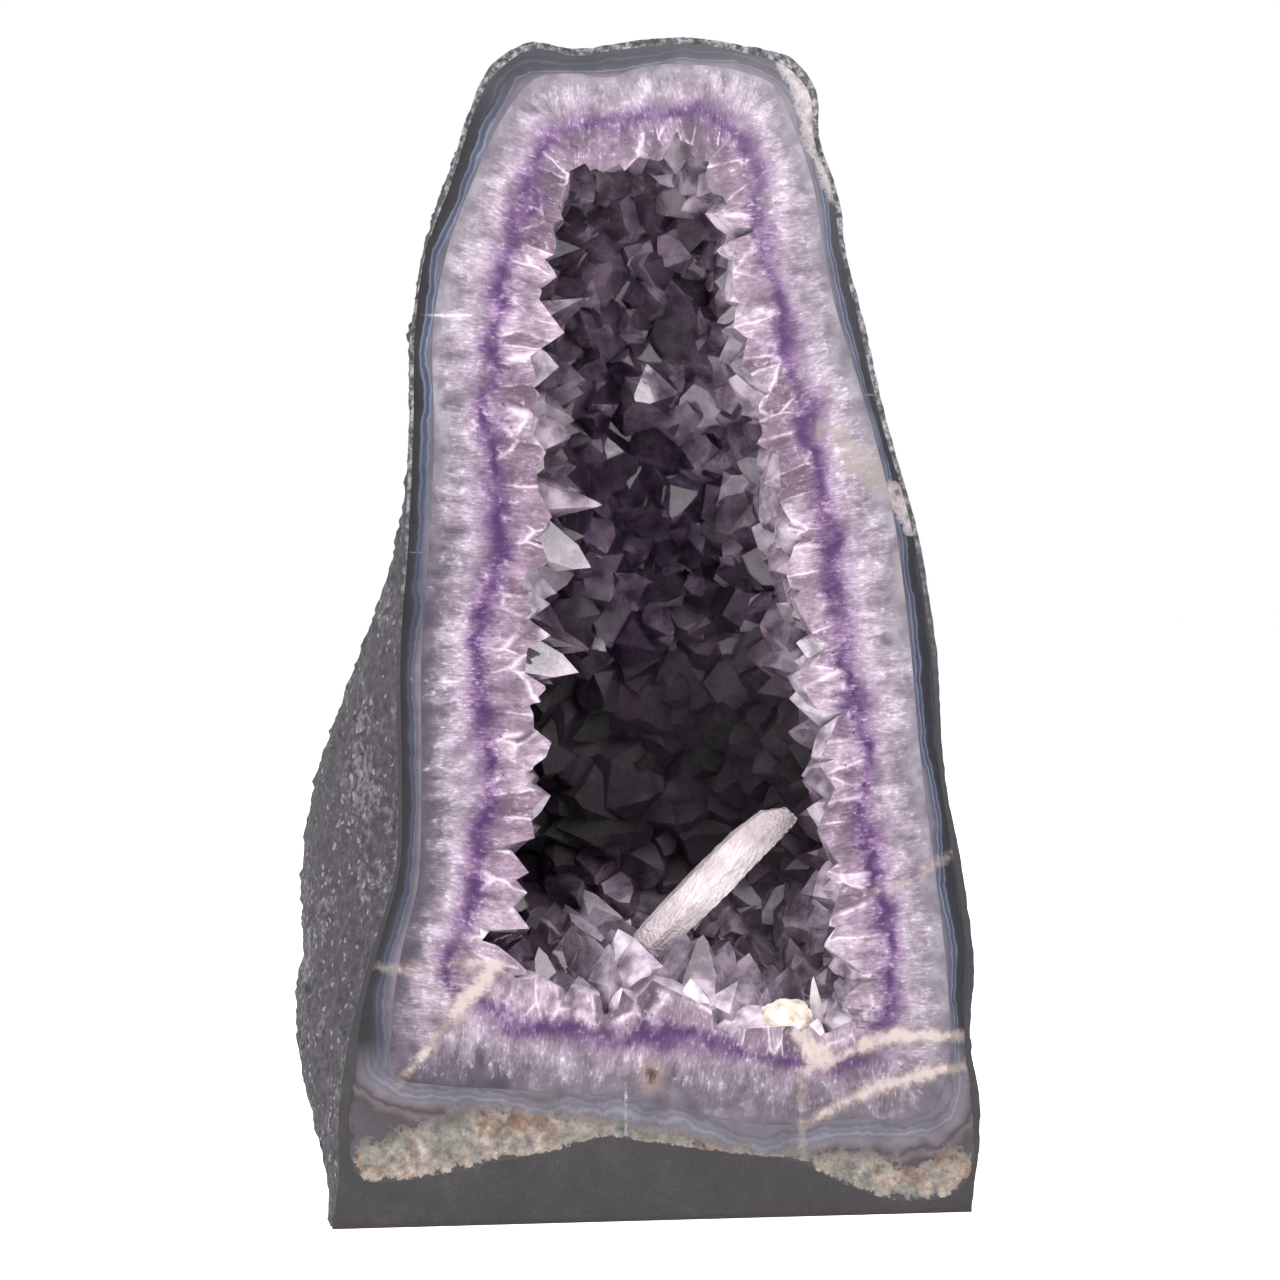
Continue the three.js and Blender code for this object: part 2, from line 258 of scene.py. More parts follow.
def off_segment(x, up, start, end):
    """The share of the way along a segment where points of the face are nearest to it, and how
    far off they are."""
    (ax, ay), (bx, by) = start, end
    length = (bx - ax) ** 2 + (by - ay) ** 2
    share = np.clip(((x - ax) * (bx - ax) + (up - ay) * (by - ay)) / length, 0, 1)
    return share, np.hypot(x - ax - share * (bx - ax), up - ay - share * (by - ay))


def beside(loop, x, up):
    """How far along a loop in the face the nearest place to each point is, and how far off."""
    along, away, run = np.zeros(np.shape(x)), np.full(np.shape(x), np.inf), 0.0
    for start, end in zip(loop, np.roll(loop, -1, 0)):
        share, off = off_segment(x, up, start, end)
        length = np.linalg.norm(end - start)
        along = np.where(off < away, run + share * length, along)
        away = np.minimum(away, off)
        run += length
    return along, away


def quartz_pattern(x, up):
    """Pattern coordinates of the quartz, in metres: along the rind and away from it, and
    inwards, which is 0 at the violet line, minus QUARTZ_BAND at the rind and CRYSTAL_BAND at
    the crystal tips."""
    number = ray_number(x, up)
    violet = on_rays(REACH["violet"], number)
    quartz = on_rays(REACH["quartz"], number)
    inwards = violet - spine_distance(x, up)
    band = np.where(inwards < 0, QUARTZ_BAND / (quartz - violet), 1.0)
    along, away = beside(QUARTZ_LOOP, x, up)
    return along * MM, away * MM, inwards * band * MM


def agate_pattern(x, up):
    """Pattern coordinates of the rind: metres along the quartz, share of the way across from
    the outside, and metres from the quartz."""
    along, inner = beside(QUARTZ_LOOP, x, up)
    outer = beside(AGATE_LOOP, x, up)[1]
    return along * MM, outer / (outer + inner), inner * MM


# Marks on the sawn face, each a set of lines of (x, up, half width).
MARKS = {
    "crack": [
        [(-81, 305, 0.1), (-56, 305.5, 0.3)], [(-83, 224, 0.1), (-68, 226, 0.3)],
        [(-84, 182, 0.2), (-76, 182.5, 0.4), (-58, 180.5, 0.2)],
        [(79, 279.5, 0.2), (91, 280, 0.1)], [(-6.7, 47, 0.2), (-7, 20, 0.2)],
    ],
    "vein": [
        [(-93, 87, 0.3), (-80, 85.5, 0.8), (-66, 86.5, 0.5), (-50, 87.5, 1.6)],
        [(-50, 86, 3.2), (-57, 79, 3.4), (-64, 71, 2.0), (-74, 58, 1.0), (-84, 47, 0.4)],
        [(53.5, 11, 0.4), (53.5, 47, 0.7)],
        [(53.5, 30, 0.8), (65, 37, 1.1), (81, 43, 1.8), (96, 47, 2.3), (110, 49, 1.2)],
        [(52, 48, 1.0), (67, 53.5, 1.2), (76, 58, 2.6), (88, 60, 2.6), (112, 59, 1.0)],
        [(52, 62, 2.5), (58, 56, 4.5), (63, 51, 2.5)],
        [(110, 123, 0.8), (100, 117, 1.2), (91, 111, 1.4), (79, 109, 0.6)],
    ],
    "crust": [
        [(-93, 20, 8), (-70, 24, 11), (-49, 28, 11), (-30, 29, 8.5), (-16, 29, 5), (-7, 28, 5),
         (0, 26, 6), (18, 23, 3.5), (35, 20.5, 3), (49, 18, 3), (53.5, 15, 6), (66, 12, 9),
         (80, 10, 10), (89, 7, 8), (98, 9, 9), (107, 12, 9)],
    ],
    "bare": [
        [(54, 394, 3), (60, 388, 5), (64, 368, 4), (70, 349, 2)], [(89, 246, 3), (96, 234, 3.5)],
    ],
    "grainy": [[(68, 268, 3), (78, 256, 6), (86, 246, 3)], [(92, 222, 1), (91.5, 212, 2)]],
    "frosty": [[(-72, 76, 8), (-78, 64, 6), (-84, 53, 2.5)]],
    "iron": [[(2.3, 49, 1.6), (2.3, 46, 0.6)]],
}


def gap(x, up, lines):
    """Distance in metres from points of the face to the edge of the nearest of some lines."""
    nearest = np.full(np.shape(x), 0.1)
    for line in lines:
        for (*start, first), (*end, last) in zip(line, line[1:]):
            share, off = off_segment(x, up, start, end)
            nearest = np.minimum(nearest, (off - first - share * (last - first)) * MM)
    return nearest


# ------------------------------------------------------------------------------------ the meshes

PATTERN = "face_pattern"


def mesh_object(name, points, faces, materials=()):
    mesh = bpy.data.meshes.new(name)
    mesh.from_pydata(points, [], faces)
    made = bpy.data.objects.new(name, mesh)
    bpy.context.scene.collection.objects.link(made)
    for material in materials:
        mesh.materials.append(material)
    return made


def mesh_of(name, work):
    """A mesh made of a bmesh, which is freed."""
    mesh = bpy.data.meshes.new(name)
    work.to_mesh(mesh)
    work.free()
    return mesh


def object_of(name, work, *materials):
    """An object in the scene made of a bmesh, which is freed."""
    mesh = mesh_of(name, work)
    for material in materials:
        mesh.materials.append(material)
    made = bpy.data.objects.new(name, mesh)
    bpy.context.scene.collection.objects.link(made)
    return made


def closed(made, distance=2e-6):
    """Merges doubles and turns every face outwards."""
    work = bmesh.new()
    work.from_mesh(made.data)
    bmesh.ops.remove_doubles(work, verts=work.verts, dist=distance)
    bmesh.ops.dissolve_degenerate(work, edges=work.edges, dist=distance / 4)
    bmesh.ops.recalc_face_normals(work, faces=work.faces)
    work.to_mesh(made.data)
    work.free()


def grid_faces(rows, start=0):
    """Quads between neighbouring rows of a closed sweep."""
    ray = np.arange(RAYS)
    after = (ray + 1) % RAYS
    quads = [np.stack([a + ray, a + after, a + RAYS + after, a + RAYS + ray], axis=-1)
             for a in start + RAYS * np.arange(rows - 1)]
    return np.concatenate(quads)


def shell(name, outer, inner, ring_steps, materials, relief=None):
    """A closed shell between two layers. outer and inner are rows of points from the face to
    the back; the ring between their first rows is the sawn face and takes the first material,
    the inner wall takes the third and the rest the second."""
    share = (np.arange(1, ring_steps) / ring_steps)[:, None, None]
    ring = inner[0] + (outer[0] - inner[0]) * share
    stack = np.concatenate([inner[::-1], ring, outer])
    if relief is not None:
        stack = relief(stack, first_outer=len(inner) + ring_steps - 1)
    faces = grid_faces(len(stack))
    made = mesh_object(name, places(stack).reshape(-1, 3), faces.tolist(), materials)
    strip = np.repeat(np.arange(len(stack) - 1), RAYS)
    on_ring = (strip >= len(inner) - 1) & (strip < len(inner) - 1 + ring_steps)
    slot = np.where(on_ring, 0, np.where(strip < len(inner), 2, 1))
    made.data.polygons.foreach_set("material_index", slot.astype(np.int32))
    closed(made)
    return made


def to_stone(mesh):
    """The mesh's corners as (x, up, deep) in millimetres."""
    flat = np.empty(len(mesh.vertices) * 3)
    mesh.vertices.foreach_get("co", flat)
    x, y, z = ((flat.reshape(-1, 3) - np.array(ORIGIN)) / MM).T
    return np.stack([
        x,
        y * math.sin(LEAN) + z * math.cos(LEAN),
        y * math.cos(LEAN) - z * math.sin(LEAN),
    ], axis=-1)


def give_pattern(made, pattern):
    """Writes pattern coordinates, worked out from (x, up), to the piece's own UV map and its
    attribute "inwards", and how far each mark is to attributes of the marks' names."""
    x, up, _ = to_stone(made.data).T
    along, across, inwards = pattern(x, up)
    corner = np.empty(len(made.data.loops), dtype=np.int32)
    made.data.loops.foreach_get("vertex_index", corner)
    layer = made.data.uv_layers.new(name=PATTERN)
    values = np.stack([along, across], axis=-1)[corner]
    layer.data.foreach_set("uv", values.astype(np.float32).ravel())
    fields = {"inwards": inwards, **{name: gap(x, up, lines) for name, lines in MARKS.items()}}
    for name, field in fields.items():
        kept = made.data.attributes.new(name, "FLOAT", "POINT")
        kept.data.foreach_set("value", field.astype(np.float32))


def shade_smooth(made, slots=None):
    for face in made.data.polygons:
        face.use_smooth = slots is None or face.material_index in slots


# --------------------------------------------------------------------------------- the materials

def srgb(text):
    """An sRGB hex colour as linear RGBA."""
    parts = [int(text[i:i + 2], 16) / 255 for i in (1, 3, 5)]
    return (*[c / 12.92 if c <= 0.04045 else ((c + 0.055) / 1.055) ** 2.4 for c in parts], 1)


RANGE, RAMP, NOISE, CELLS = "MapRange", "ValToRGB", "TexNoise", "TexVoronoi"
PLUS, MINUS, TIMES, TIMES_PLUS, WITHOUT_SIGN, LARGER, SMALLER = (
    "Math." + operation for operation in (
        "ADD", "SUBTRACT", "MULTIPLY", "MULTIPLY_ADD", "ABSOLUTE", "MAXIMUM", "MINIMUM"))


def add(tree, kind, *values, out=0, at=None, stops=None, **named):
    """Adds a node and returns its output `out`. A shader node's kind is given without its
    ShaderNode, and may name its operation after a dot. values fill the inputs in order, at
    fills them by number, and names with a capital fill them by name, with _ for a space: a
    socket is linked, None is passed over and the rest is set. Small names are settings."""
    kind, *operation = kind.split(".")
    node = tree.nodes.new(kind if "Node" in kind else "ShaderNode" + kind)
    if operation:
        node.operation = operation[0]
    inputs = [*enumerate(values), *(at or {}).items()]
    for key, value in named.items():
        if key[0].isupper():
            inputs.append((key.replace("_", " "), value))
        else:
            setattr(node, key, value)
    for key, value in inputs:
        if isinstance(value, bpy.types.NodeSocket):
            tree.links.new(value, node.inputs[key])
        elif value is not None:
            node.inputs[key].default_value = value
    if stops:
        ramp = node.color_ramp.elements
        while len(ramp) < len(stops):
            ramp.new(1)
        for element, (position, colour) in zip(ramp, stops):
            element.position = position
            element.color = srgb(colour)
    return node.outputs[out] if len(node.outputs) else node


MIX_A, MIX_B, MIX_OUT = 6, 7, 2  # a Mix node's colour sockets


def swayed(tree, value, pattern, by):
    """A value moved to and fro by as much as `by`, with a noise."""
    return add(tree, PLUS, value, add(tree, RANGE, pattern, 0.3, 0.7, -by, by))


def off_mark(tree, name, pattern, by):
    """How far off the edge of a mark a place is, the edge made ragged with a noise."""
    kept = add(tree, "Attribute", out="Fac", attribute_name=name)
    return swayed(tree, kept, pattern, by)


def new_material(name):
    material = bpy.data.materials.new(name)
    material.use_nodes = True
    material.node_tree.nodes.clear()
    return material, material.node_tree


def show(tree, surface, volume=None):
    add(tree, "OutputMaterial", Surface=surface, Volume=volume)


def layered(tree, colour, *layers):
    """Lays colours over a colour, each as (share, colour) or (share, colour, blend type)."""
    for share, over, *blend in layers:
        over = srgb(over) if isinstance(over, str) else over
        colour = add(tree, "Mix", out=MIX_OUT, data_type="RGBA",
                     blend_type=blend[0] if blend else "MIX",
                     at={0: share, MIX_A: colour, MIX_B: over})
    return colour


def cast_cement():
    """Cement with sand in it, cast round the geode and left rough. It gives the eye a dark grey
    mass, rough all over, with paler scuffs and dark pits."""
    material, t = new_material("cast_cement")
    place_in = add(t, "TexCoord", out="Object")
    lumps = add(t, NOISE, Vector=place_in, Scale=330.0, Detail=7.0, Roughness=0.72)
    patches = add(t, NOISE, Vector=place_in, Scale=30.0, Detail=6.0, Roughness=0.65)
    grit = add(t, CELLS, Vector=place_in, Scale=700.0, out="Color")
    kind = add(t, "SeparateColor", grit)
    pits = add(t, CELLS, Vector=place_in, Scale=120.0)
    body = add(t, RAMP, lumps, stops=[(0.34, "#2b292d"), (0.48, "#413e43"), (0.66, "#57545a")])
    scuffs = add(t, RANGE, add(t, TIMES, patches, lumps), 0.28, 0.36, 0.0, 0.5)
    grains = add(t, RANGE, kind, 0.96, 0.97, 0.0, 0.45)
    pit = add(t, RANGE, pits, 0.07, 0.17, 0.85, 0.0)
    colour = layered(t, body, (scuffs, "#918e93"), (grains, "#a5a3a7"), (pit, "#1e1c20"))
    raised = add(t, MINUS, add(t, TIMES, lumps, 2.0), add(t, TIMES, pit, 0.8))
    bump = add(t, "Bump", Strength=1.0, Distance=1.2 * MM, Height=raised)
    rough = add(t, RANGE, kind, 0.9, 1.0, 0.85, 0.4)
    show(t, add(t, "BsdfPrincipled", Base_Color=colour, Roughness=rough, Normal=bump))
    return material


def sawn_cement():
    """The same cement where the saw and the grinder went over it: even, dark and nearly flat,
    with a few grains and pin holes. Up the sides the thin rim is darkened as painted shade, high
    up it crumbles and is paler as a painted highlight, and a dark brown line runs along the bottom
    edge."""
    material, t = new_material("sawn_cement")
    place_in = add(t, "TexCoord", out="Object")
    cloud = add(t, NOISE, Vector=place_in, Scale=60.0, Detail=6.0, Roughness=0.7)
    grain = add(t, NOISE, Vector=place_in, Scale=1500.0, Detail=3.0)
    holes = add(t, CELLS, Vector=place_in, Scale=160.0)
    body = add(t, RAMP, cloud, stops=[(0.3, "#211f22"), (0.5, "#2a282b"), (0.6, "#302e31"),
        (0.75, "#454246")])
    fleck = add(t, RAMP, grain, stops=[(0.36, "#a5a3a8"), (0.52, "#ffffff"), (0.7, "#ffffff")])
    hole = add(t, RANGE, holes, 0.05, 0.1, 0.7, 0.0)
    crumbs = add(t, NOISE, Vector=place_in, Scale=420.0, Detail=5.0, Roughness=0.7)
    crumbling = add(t, RAMP, crumbs, stops=[(0.4, "#1a191b"), (0.49, "#48464a"), (0.62, "#8b898d")])
    height = add(t, "SeparateXYZ", place_in, out=2)
    # painted highlight: high up, the rim is crumbling and paler, where light catches the top; the
    # crumbs are its own
    high_crumbs_and_highlight = add(t, RANGE, height, 0.17, 0.27)
    # painted shade: the rims up the sides, above 8 cm, are darkened
    side_painted_shade = add(t, RANGE, height, 0.04, 0.08, 0.0, 0.7)
    # a dark brown line along the bottom edge, in the lowest 2 mm
    bottom_edge_line = add(t, RANGE, height, 0.6 * MM, 2 * MM, 0.8, 0.0)
    colour = layered(t, body, (0.6, fleck, "MULTIPLY"), (hole, "#1c1b1e"), (side_painted_shade, "#1f1e21"),
        (high_crumbs_and_highlight, crumbling), (bottom_edge_line, "#241814"))
    bump = add(t, "Bump", Strength=0.3, Distance=0.2 * MM, Height=grain)
    show(t, add(t, "BsdfPrincipled", Base_Color=colour, Roughness=0.6, Normal=bump))
    return material


def banded_agate():
    """Agate, sawn and polished: dense silica in fine wavy bands with a soft glassy gloss. Up
    the sides it is slate outside, then a blue line between pale ones and a grey-lilac band. At
    the foot it stands on a lumpy crust of weathered basalt and calcite."""
    material, t = new_material("banded_agate")
    place_in = add(t, "TexCoord", out="Object")
    right, _, height = (add(t, "SeparateXYZ", place_in, out=i) for i in range(3))
    across = add(t, "SeparateXYZ", add(t, "UVMap", uv_map=PATTERN), out=1)
    from_quartz = add(t, "Attribute", out="Fac", attribute_name="inwards")
    wave = add(t, NOISE, Vector=place_in, Scale=42.0, Detail=3.0)
    ripple = add(t, NOISE, Vector=place_in, Scale=260.0, Detail=3.0)
    cloud = add(t, NOISE, Vector=place_in, Scale=90.0, Detail=5.0, Roughness=0.6)
    bent = swayed(t, swayed(t, across, wave, 0.2), ripple, 0.04)
    left_bands = add(t, RAMP, bent, stops=[(0.0, "#201f23"), (0.2, "#29282d"), (0.4, "#2b2c31"),
        (0.45, "#4d525f"), (0.49, "#767d90"), (0.54, "#4d556a"), (0.64, "#3f475c"),
        (0.73, "#4f576c"), (0.79, "#828899"), (0.84, "#64656f"), (1.0, "#6b6770")])
    low_left_bands = add(t, RAMP, bent, stops=[(0.0, "#242327"), (0.25, "#2a292e"),
        (0.38, "#36373e"), (0.46, "#4d515f"), (0.52, "#3b3f4e"), (0.62, "#454a5b"),
        (0.69, "#646775"), (0.75, "#56555f"), (0.86, "#6a6670"), (1.0, "#77727c")])
    low = add(t, RANGE, height, 0.27, 0.21)
    right_bands = add(t, RAMP, bent, stops=[(0.0, "#35363c"), (0.08, "#20212a"), (0.38, "#20212a"),
        (0.47, "#31333d"), (0.52, "#6c7182"), (0.57, "#3f4557"), (0.66, "#3a4153"),
        (0.73, "#747b8e"), (0.78, "#4a4f5e"), (0.88, "#5a5a66"), (1.0, "#6e6973")])
    crown_bands = add(t, RAMP, bent, stops=[(0.0, "#3c3e45"), (0.2, "#36373e"), (0.32, "#4a4e5b"),
        (0.38, "#383942"), (0.6, "#42434b"), (0.7, "#4b4c56"), (0.75, "#7f7c88"), (0.78, "#4d4e59"),
        (0.88, "#6d6770"), (1.0, "#746f77")])
    # at the foot the bands keep their width in millimetres: 1 is 22 mm below the quartz
    waving = swayed(t, add(t, RANGE, wave, 0.3, 0.7, -4.5 * MM, 4.5 * MM), ripple, 0.7 * MM)
    sunk = add(t, RANGE, add(t, PLUS, from_quartz, waving), 0.0, 22 * MM)
    foot_bands = add(t, RAMP, sunk, stops=[(0.0, "#6d6971"), (0.06, "#5e5b61"), (0.12, "#73727b"),
        (0.17, "#686771"), (0.23, "#82828f"), (0.29, "#6c6a73"), (0.37, "#787277"),
        (0.46, "#6b6265"), (0.54, "#423e44"), (0.62, "#6c6164"), (0.75, "#453f43"),
        (1.0, "#4f4a4e")])
    on_right = add(t, RANGE, right, -0.01, 0.04)
    at_crown = add(t, RANGE, height, 0.365, 0.385)
    at_foot = add(t, RANGE, height, 0.062, 0.045)
    smoke = add(t, RAMP, cloud, stops=[(0.32, "#93929a"), (0.62, "#ffffff")])
    # the crust at the foot: lumps 2 to 6 mm wide in cream, grey, pale green and rust
    lumps = add(t, NOISE, Vector=place_in, Scale=260.0, Detail=7.0, Roughness=0.68)
    stain = add(t, NOISE, Vector=place_in, Scale=70.0, Detail=7.0, Roughness=0.68)
    grey_crust = add(t, RAMP, lumps, stops=[(0.3, "#413f40"), (0.4, "#605d5b"), (0.48, "#757069"),
        (0.56, "#877e75"), (0.68, "#aaa299")])
    tints = add(t, RAMP, stain, stops=[(0.34, "#8d9a92"), (0.42, "#c9d0c9"), (0.5, "#ffffff"),
        (0.57, "#ecd3bf"), (0.64, "#b38a70")])
    rock = layered(t, grey_crust, (0.9, tints, "MULTIPLY"))
    crust_gap = off_mark(t, "crust", lumps, 4.5 * MM)
    in_crust = add(t, RANGE, crust_gap, -1.8 * MM, 1.2 * MM, 1.0, 0.0)
    rim_of_crust = add(t, RANGE, add(t, WITHOUT_SIGN, crust_gap), 0.2 * MM, 0.9 * MM, 0.35, 0.0)
    # where the rind has broken off the face is cloudy quartz with dark chips
    bare_gap = off_mark(t, "bare", lumps, 2.5 * MM)
    is_bare = add(t, RANGE, bare_gap, -0.6 * MM, 0.8 * MM, 1.0, 0.0)
    bare_quartz = add(t, RAMP, lumps, stops=[(0.32, "#463e40"), (0.42, "#797174"),
        (0.55, "#928b8d"), (0.7, "#a9a2a4")])
    edge = swayed(t, across, lumps, 0.09)
    ragged = add(t, TIMES, at_foot, add(t, RANGE, edge, 0.03, 0.05, 1.0, 0.0))
    crack, vein = face_marks(t, place_in)
    colour = layered(t, left_bands, (low, low_left_bands), (on_right, right_bands),
        (at_crown, crown_bands), (at_foot, foot_bands), (0.5, smoke, "MULTIPLY"),
        (1.0, "#dddcdf", "MULTIPLY"), (is_bare, bare_quartz), (in_crust, rock),
        (rim_of_crust, "#5d4a3f"), (vein, "#8f8278"), (crack, "#a09ba5"), (ragged, "#2b292c"))
    rough = add(t, RANGE, in_crust, 0.0, 1.0, 0.26, 0.6)
    relief = add(t, TIMES, in_crust, lumps)
    bump = add(t, "Bump", Strength=0.7, Distance=1 * MM, Height=relief)
    show(t, add(t, "BsdfPrincipled", Base_Color=colour, Roughness=rough, IOR=1.54, Normal=bump,
        Coat_Weight=0.25, Coat_Roughness=0.12))
    return material


def face_marks(t, place_in):
    """How strongly a white crack and a thin calcite vein show at a place of the sawn face."""
    wander = add(t, NOISE, Vector=place_in, Scale=160.0, Detail=6.0, Roughness=0.7)
    crack = add(t, PLUS, add(t, "Attribute", out="Fac", attribute_name="crack"),
        add(t, RANGE, wander, 0.3, 0.7, -0.5 * MM, 0.7 * MM))
    vein = off_mark(t, "vein", wander, 2.0 * MM)
    return (add(t, RANGE, crack, -0.2 * MM, 0.5 * MM, 0.6, 0.0),
        add(t, RANGE, vein, -2.0 * MM, 1.6 * MM, 0.85, 0.0))


def sawn_quartz():
    """Milky and violet quartz, sawn and polished: frosty fibres square to the rind, a broken
    violet line, then pale cloudy crystals with white edges, which are partly painted highlights."""
    material, t = new_material("sawn_quartz")
    place_in = add(t, "TexCoord", out="Object")
    height = add(t, "SeparateXYZ", place_in, out=2)
    pattern = add(t, "UVMap", uv_map=PATTERN)
    along, away = (add(t, "SeparateXYZ", pattern, out=i) for i in range(2))
    inwards = add(t, "Attribute", out="Fac", attribute_name="inwards")
    # fibres 0.5 and 1 mm wide and sheaves of them 4 mm wide, all running across the band
    drawn = add(t, "CombineXYZ", along, add(t, TIMES, away, 0.3), 0.0)
    fibres = add(t, NOISE, Vector=drawn, Scale=1100.0, Detail=5.0, Roughness=0.7)
    sheaves = add(t, NOISE, Vector=drawn, Scale=240.0, Detail=4.0, Roughness=0.55)
    clouds = add(t, NOISE, Vector=place_in, Scale=110.0, Detail=6.0, Roughness=0.62)
    warp = add(t, NOISE, Vector=place_in, Scale=60.0, Detail=4.0)
    bent = swayed(t, swayed(t, inwards, warp, 3.4 * MM), sheaves, 1.8 * MM)
    zone = add(t, RANGE, bent, -QUARTZ_BAND * MM, CRYSTAL_BAND * MM)
    body = add(t, RAMP, zone, stops=[(0.0, "#7d7982"), (0.08, "#928e96"), (0.17, "#b9b4ba"),
        (0.32, "#c8c1c8"), (0.43, "#b4a3b7"), (0.5, "#8a6e93"), (0.56, "#b09eb3"),
        (0.66, "#cdc1ca"), (0.85, "#d5cbd2"), (1.0, "#cdc2ca")])
    streak = add(t, RAMP, fibres, stops=[(0.33, "#afa8b0"), (0.48, "#dad5db"), (0.62, "#ffffff")])
    sheaf = add(t, RAMP, sheaves, stops=[(0.33, "#a39aa4"), (0.5, "#dfd8df"), (0.66, "#ffffff")])
    smoke = add(t, RAMP, clouds, stops=[(0.36, "#7d7380"), (0.48, "#c3bac4"), (0.6, "#ffffff")])
    flakes = add(t, NOISE, Vector=place_in, Scale=480.0, Detail=4.0, Roughness=0.6)
    # the first 3 mm off the rind are smooth
    off_rind = add(t, RANGE, zone, 0.03, 0.13)
    glint = add(t, PLUS, fibres, flakes)
    frosted = add(t, TIMES, add(t, RANGE, glint, 1.07, 1.33, 0.0, 0.4),
        add(t, RANGE, clouds, 0.42, 0.56, 0.1, 1.0))
    frost = add(t, TIMES, frosted, off_rind)
    fibrous = add(t, TIMES, off_rind, 0.8)
    # the violet line: a lilac haze 14 mm wide, and in it a broken row of deep patches 5 mm wide
    patch = add(t, NOISE, Vector=place_in, Scale=70.0, Detail=5.0, Roughness=0.6)
    off_line = add(t, WITHOUT_SIGN, bent)
    haze = add(t, TIMES, add(t, RANGE, off_line, 0.0, 7.5 * MM, 0.85, 0.0),
        add(t, RANGE, patch, 0.34, 0.54, 0.25, 1.0))
    pocket = add(t, NOISE, Vector=place_in, Scale=170.0, Detail=3.0, Roughness=0.6)
    broken = swayed(t, add(t, PLUS, patch, pocket), fibres, -0.1)
    deep = add(t, TIMES, add(t, RANGE, off_line, 0.4 * MM, 4.6 * MM, 1.0, 0.0),
        add(t, RANGE, broken, 0.92, 1.1))
    specks = add(t, CELLS, Vector=place_in, Scale=330.0)
    near = add(t, RANGE, bent, 0.5 * MM, 2 * MM)
    not_far = add(t, RANGE, bent, 6 * MM, 9 * MM, 1.0, 0.0)
    speck = add(t, TIMES, add(t, RANGE, specks, 0.1, 0.15, 0.8, 0.0), add(t, TIMES, near, not_far))
    # the crystals' own edges, 9 to 13 mm apart, drawn out towards the hollow, white partly as painted
    # highlights along them
    stretched = add(t, "CombineXYZ", along, add(t, TIMES, away, 0.42), 0.0)
    wobble = add(t, NOISE, Vector=place_in, Scale=90.0, Detail=2.0, out="Color")
    cell_at = add(t, "VectorMath.ADD", stretched, add(t, "VectorMath.MULTIPLY", wobble,
        (3 * MM, 3 * MM, 0.0)))
    edges = add(t, CELLS, Vector=cell_at, Scale=88.0, feature="DISTANCE_TO_EDGE")
    cells = add(t, "SeparateColor", add(t, CELLS, Vector=cell_at, Scale=88.0, out="Color"))
    in_crystal = add(t, RANGE, bent, 1 * MM, 6 * MM)
    # painted highlight: a white line along each crystal's edge, partly the edge's own whiteness
    edge = add(t, TIMES, add(t, RANGE, edges, 0.0, 0.05, 0.5, 0.0),
        add(t, TIMES, in_crystal, add(t, RANGE, clouds, 0.4, 0.55, 0.1, 1.0)))
    cell_tone = add(t, RAMP, cells, stops=[(0.0, "#9b8b9a"), (0.3, "#c5b8c3"), (0.6, "#e9e1e8"),
        (1.0, "#ffffff")])
    low = add(t, RANGE, height, 0.27, 0.21)
    far_left = add(t, RANGE, add(t, "SeparateXYZ", place_in), -40 * MM, -50 * MM)
    smoky = add(t, TIMES, add(t, TIMES, low, far_left), add(t, RANGE, zone, 0.05, 0.3, 1.0, 0.0))
    crown = add(t, TIMES, add(t, RANGE, height, 0.335, 0.36, 0.0, 0.9), in_crystal)
    # stained, grainy quartz by the rind, and the spot of iron under the floor of the hollow
    grain_gap = off_mark(t, "grainy", clouds, 4 * MM)
    grainy = add(t, RANGE, grain_gap, -1.5 * MM, 1.5 * MM, 0.6, 0.0)
    frosty_gap = off_mark(t, "frosty", fibres, -4 * MM)
    frosty = add(t, RANGE, frosty_gap, -2 * MM, 2 * MM, 0.7, 0.0)
    spot_gap = off_mark(t, "iron", fibres, 1.2 * MM)
    halo = add(t, RANGE, spot_gap, 0.0, 5 * MM, 0.6, 0.0)
    core = add(t, RANGE, spot_gap, -0.8 * MM, 0.8 * MM, 0.95, 0.0)
    grey_foot = add(t, RANGE, height, 0.075, 0.04, 0.0, 0.7)
    crack, vein = face_marks(t, place_in)
    vein_tone = add(t, RAMP, add(t, PLUS, vein, add(t, TIMES, fibres, 0.9)),
        stops=[(0.45, "#7d5f4b"), (0.75, "#97877b"), (0.95, "#a89a90"), (1.0, "#b7aba4")])
    colour = layered(t, body, (haze, "#7f5a8c"), (frosty, "#cfc7ca"),
        (grey_foot, "#a79ea6", "MULTIPLY"), (crown, "#c6bdc9", "MULTIPLY"),
        (smoky, "#a7a1ad", "MULTIPLY"), (fibrous, streak, "MULTIPLY"), (fibrous, sheaf, "MULTIPLY"),
        (0.6, smoke, "MULTIPLY"), (in_crystal, cell_tone, "MULTIPLY"), (frost, "#f2edf2"),
        (deep, "#3b1e4d"), (edge, "#f3eaf1"), (grainy, "#8e867f"), (speck, "#2c2029"),
        (vein, vein_tone), (crack, "#e6dfe6"), (halo, "#8a7264"), (core, "#2e231c"))
    bump = add(t, "Bump", Strength=0.2, Distance=0.3 * MM, Height=fibres)
    show(t, add(t, "BsdfPrincipled", Base_Color=colour, Roughness=0.28, IOR=1.544, Normal=bump,
        Subsurface_Weight=0.15, Subsurface_Radius=(1.0, 0.9, 1.1), Subsurface_Scale=1.5 * MM,
        Coat_Weight=0.2, Coat_Roughness=0.08))
    return material


